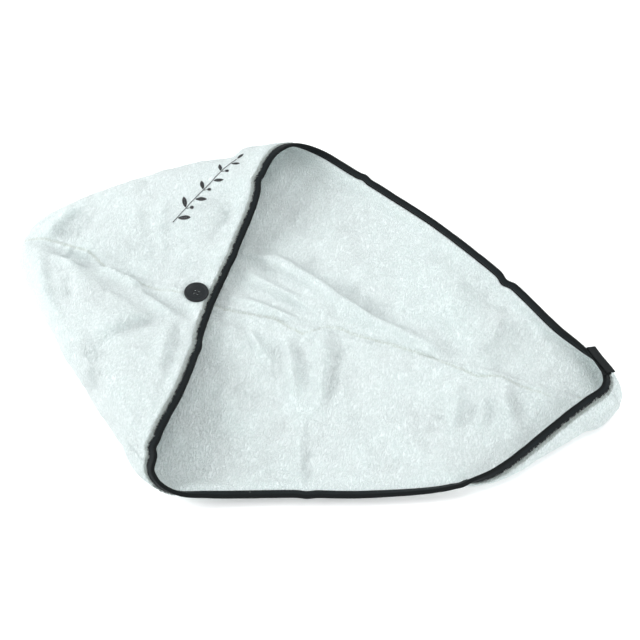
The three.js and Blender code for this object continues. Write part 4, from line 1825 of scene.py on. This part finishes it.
@dataclass(frozen=True)
class Elastic(Finish):
    """Matt black elastic with clear ribs, painted darker in the grooves between them."""

    dark: tuple = (0.003, 0.004, 0.0045, 1)
    light: tuple = (0.012, 0.015, 0.016, 1)
    pitch: float = 0.0011
    relief: float = 0.8
    depth: float = 0.0003
    roughness: float = 0.75
    specular: float = 0.2

    def build(self, ribs: bpy.types.NodeTree) -> bpy.types.Material:
        """Makes the material.

        Args:
            ribs: The shared group of woven ribs.

        Returns:
            The material.
        """
        material, graph = self.start()
        place = graph.add("UVMap", {"uv_map": "Cloth"}).outputs[0]
        look = graph.add("Group", {"node_tree": ribs}, Vector=place, Pitch=self.pitch)
        # Painted shade: darker in the grooves between the ribs, lighter on their tops.
        colour = graph.mix(graph.between(look.outputs["Height"], 0.0, 1.2), self.dark, self.light)
        self.end(graph, colour, look.outputs["Height"])
        return material


@dataclass(frozen=True)
class Plastic(Finish):
    """Matt black moulded plastic with the faint grain of handling."""

    colour: tuple = (0.007, 0.0095, 0.011, 1)
    handled: tuple = (0.012, 0.0145, 0.0165, 1)
    relief: float = 0.25
    depth: float = 0.0001
    specular: float = 0.25

    def build(self) -> bpy.types.Material:
        """Makes the material.

        Returns:
            The material.
        """
        material, graph = self.start()
        place = graph.add("TexCoord").outputs["Object"]
        grain = graph.add("TexNoise", Vector=place, Scale=700.0, Detail=4.0)
        dull = graph.add("TexNoise", Vector=place, Scale=90.0, Detail=2.0)
        rough = graph.between(dull.outputs["Fac"], 0.3, 0.7, 0.42, 0.56)
        colour = graph.mix(graph.between(grain.outputs["Fac"], 0.4, 0.7), self.colour, self.handled)
        self.end(graph, colour, grain.outputs["Fac"], Roughness=rough)
        return material


@dataclass(frozen=True)
class Thread(Finish):
    """Black sewing thread with a soft lustre and painted glints along its twist."""

    colour: tuple = (0.008, 0.009, 0.01, 1)
    # gloss: the colour of the painted glints
    gloss: tuple = (0.035, 0.037, 0.04, 1)
    relief: float = 0.4
    depth: float = 0.0001
    roughness: float = 0.5
    specular: float = 0.45

    def build(self) -> bpy.types.Material:
        """Makes the material.

        Returns:
            The material.
        """
        material, graph = self.start()
        place = graph.add("TexCoord").outputs["Object"]
        twist = graph.add("TexNoise", Vector=place, Scale=1500.0, Detail=3.0)
        # Painted glints, lighter along the twist.
        colour = graph.mix(graph.between(twist.outputs["Fac"], 0.4, 0.65), self.colour, self.gloss)
        self.end(graph, colour, twist.outputs["Fac"])
        return material


@dataclass(frozen=True)
class Paper(Finish):
    """The pale surface below, lit evenly from within as on a light table."""

    colour: tuple = (0.94, 0.95, 0.95, 1)
    glow: float = 0.16
    relief: float = 0.05
    roughness: float = 0.9
    specular: float = 0.1

    def build(self) -> bpy.types.Material:
        """Makes the material.

        Returns:
            The material.
        """
        material, graph = self.start()
        place = graph.add("TexCoord").outputs["Object"]
        tooth = graph.add("TexNoise", Vector=place, Scale=900.0, Detail=2.0)
        light = {"Emission_Color": (1, 1, 1, 1), "Emission_Strength": self.glow}
        self.end(graph, self.colour, tooth.outputs["Fac"], **light)
        return material


@dataclass(frozen=True)
class Lamp:
    """A square soft lamp, with its place and size in metres and its power in watts."""

    name: str
    place: tuple
    power: float
    size: float


@dataclass
class Studio:
    """A pale floor, soft lights and the camera at the photo's angle."""

    azimuth: float = 16.8
    elevation: float = 52
    distance: float = 1.05
    lens: float = 55
    target: tuple = (0.01573, 0.011137, 0)
    sensor: float = 36
    near_clip: float = 0.05
    floor_size: float = 6
    floor_drop: float = 0.0003
    sky: float = 0.72
    sky_colour: tuple = (0.97, 0.99, 1, 1)
    lamps: tuple = (
        Lamp("key", (-1.25, -0.42, 0.7), 19, 0.75),
        Lamp("fill", (0.35, 0.5, 1.15), 7, 0.7),
        Lamp("bounce", (1.05, -0.6, 0.5), 6, 0.8),
    )

    def build(self, paper: bpy.types.Material) -> None:
        """Makes floor, sky, lights and camera.

        Args:
            paper: The floor's finish.
        """
        made = bmesh.new()
        bmesh.ops.create_grid(made, x_segments=2, y_segments=2, size=self.floor_size / 2)
        floor = mesh_object("floor", made)
        floor.location.z = -self.floor_drop
        floor.data.materials.append(paper)
        world = bpy.data.worlds.new("sky")
        world.use_nodes = True
        background = world.node_tree.nodes["Background"]
        background.inputs["Color"].default_value = self.sky_colour
        background.inputs["Strength"].default_value = self.sky
        bpy.context.scene.world = world
        for lamp in self.lamps:
            self.light(lamp)
        self.camera()
        bpy.context.scene.view_settings.view_transform = "Standard"

    def light(self, lamp: Lamp) -> None:
        """Adds a lamp aimed at the towel.

        Args:
            lamp: The lamp.
        """
        light = bpy.data.lights.new(lamp.name, "AREA")
        light.energy = lamp.power
        light.size = lamp.size
        made = bpy.data.objects.new(lamp.name, light)
        made.location = lamp.place
        made.rotation_euler = (-Vector(lamp.place)).to_track_quat("-Z", "Y").to_euler()
        bpy.context.collection.objects.link(made)

    def camera(self) -> None:
        """Adds the camera."""
        turn, rise = math.radians(self.azimuth), math.radians(self.elevation)
        back = Vector((math.sin(turn) * math.cos(rise), -math.cos(turn) * math.cos(rise), math.sin(rise)))
        lens = bpy.data.cameras.new("camera")
        lens.lens = self.lens
        lens.sensor_width = self.sensor
        lens.clip_start = self.near_clip
        made = bpy.data.objects.new("camera", lens)
        made.location = Vector(self.target) + back * self.distance
        made.rotation_euler = (-back).to_track_quat("-Z", "Y").to_euler()
        bpy.context.collection.objects.link(made)
        bpy.context.scene.camera = made


def surface_of(piece: bpy.types.Object) -> BVHTree:
    """The surface of a piece, for casting rays at it.

    Args:
        piece: The piece.

    Returns:
        The surface.
    """
    made = bmesh.new()
    made.from_mesh(piece.data)
    tree = BVHTree.FromBMesh(made)
    made.free()
    return tree


def half_area(piece: bpy.types.Object) -> float:
    """Half the area of a piece's mesh.

    Args:
        piece: The piece.

    Returns:
        The area in square metres.
    """
    areas = np.empty(len(piece.data.polygons), np.float32)
    piece.data.polygons.foreach_get("area", areas)
    return float(areas.sum()) / 2


def main() -> None:
    """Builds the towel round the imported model."""
    logging.basicConfig(level=logging.INFO, format="%(message)s")
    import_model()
    form = TowelForm()
    form.align(*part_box("button"))
    log.info("shift of the layout frame: %s", form.shift)

    pile, ribs = pile_group(), rib_group()
    fleece = Fleece("fleece").build(pile)
    thread = Thread("thread").build()
    relief = Relief(form)

    far = FleecePanel(form, relief, "fleece_far", "panel_far", 0, FLAP_FRONT)
    near = FleecePanel(form, relief, "fleece_near", "panel_near", FLAP_FRONT, ROW_COUNT)
    for panel in (far, near):
        panel.build()
        panel.dress(fleece)
        log.info("%s: half its area is %.4f square metres", panel.name, half_area(panel.piece))

    binding = EdgeBinding(form)
    binding.build()
    binding.dress(Tape("binding_tape").build(ribs), thread)
    fringe = PileFringe(form)
    fringe.build()
    fringe.dress(fleece)
    button = Button(form)
    button.build()
    button.dress(Plastic("button_plastic").build(), thread)
    loop = ElasticLoop(form)
    loop.build()
    loop.dress(Elastic("elastic").build(ribs))
    sprig = LeafSprig(form)
    sprig.build(surface_of(far.piece))
    sprig.dress(thread)

    Studio().build(Paper("paper").build())


if __name__ == "__main__":
    main()
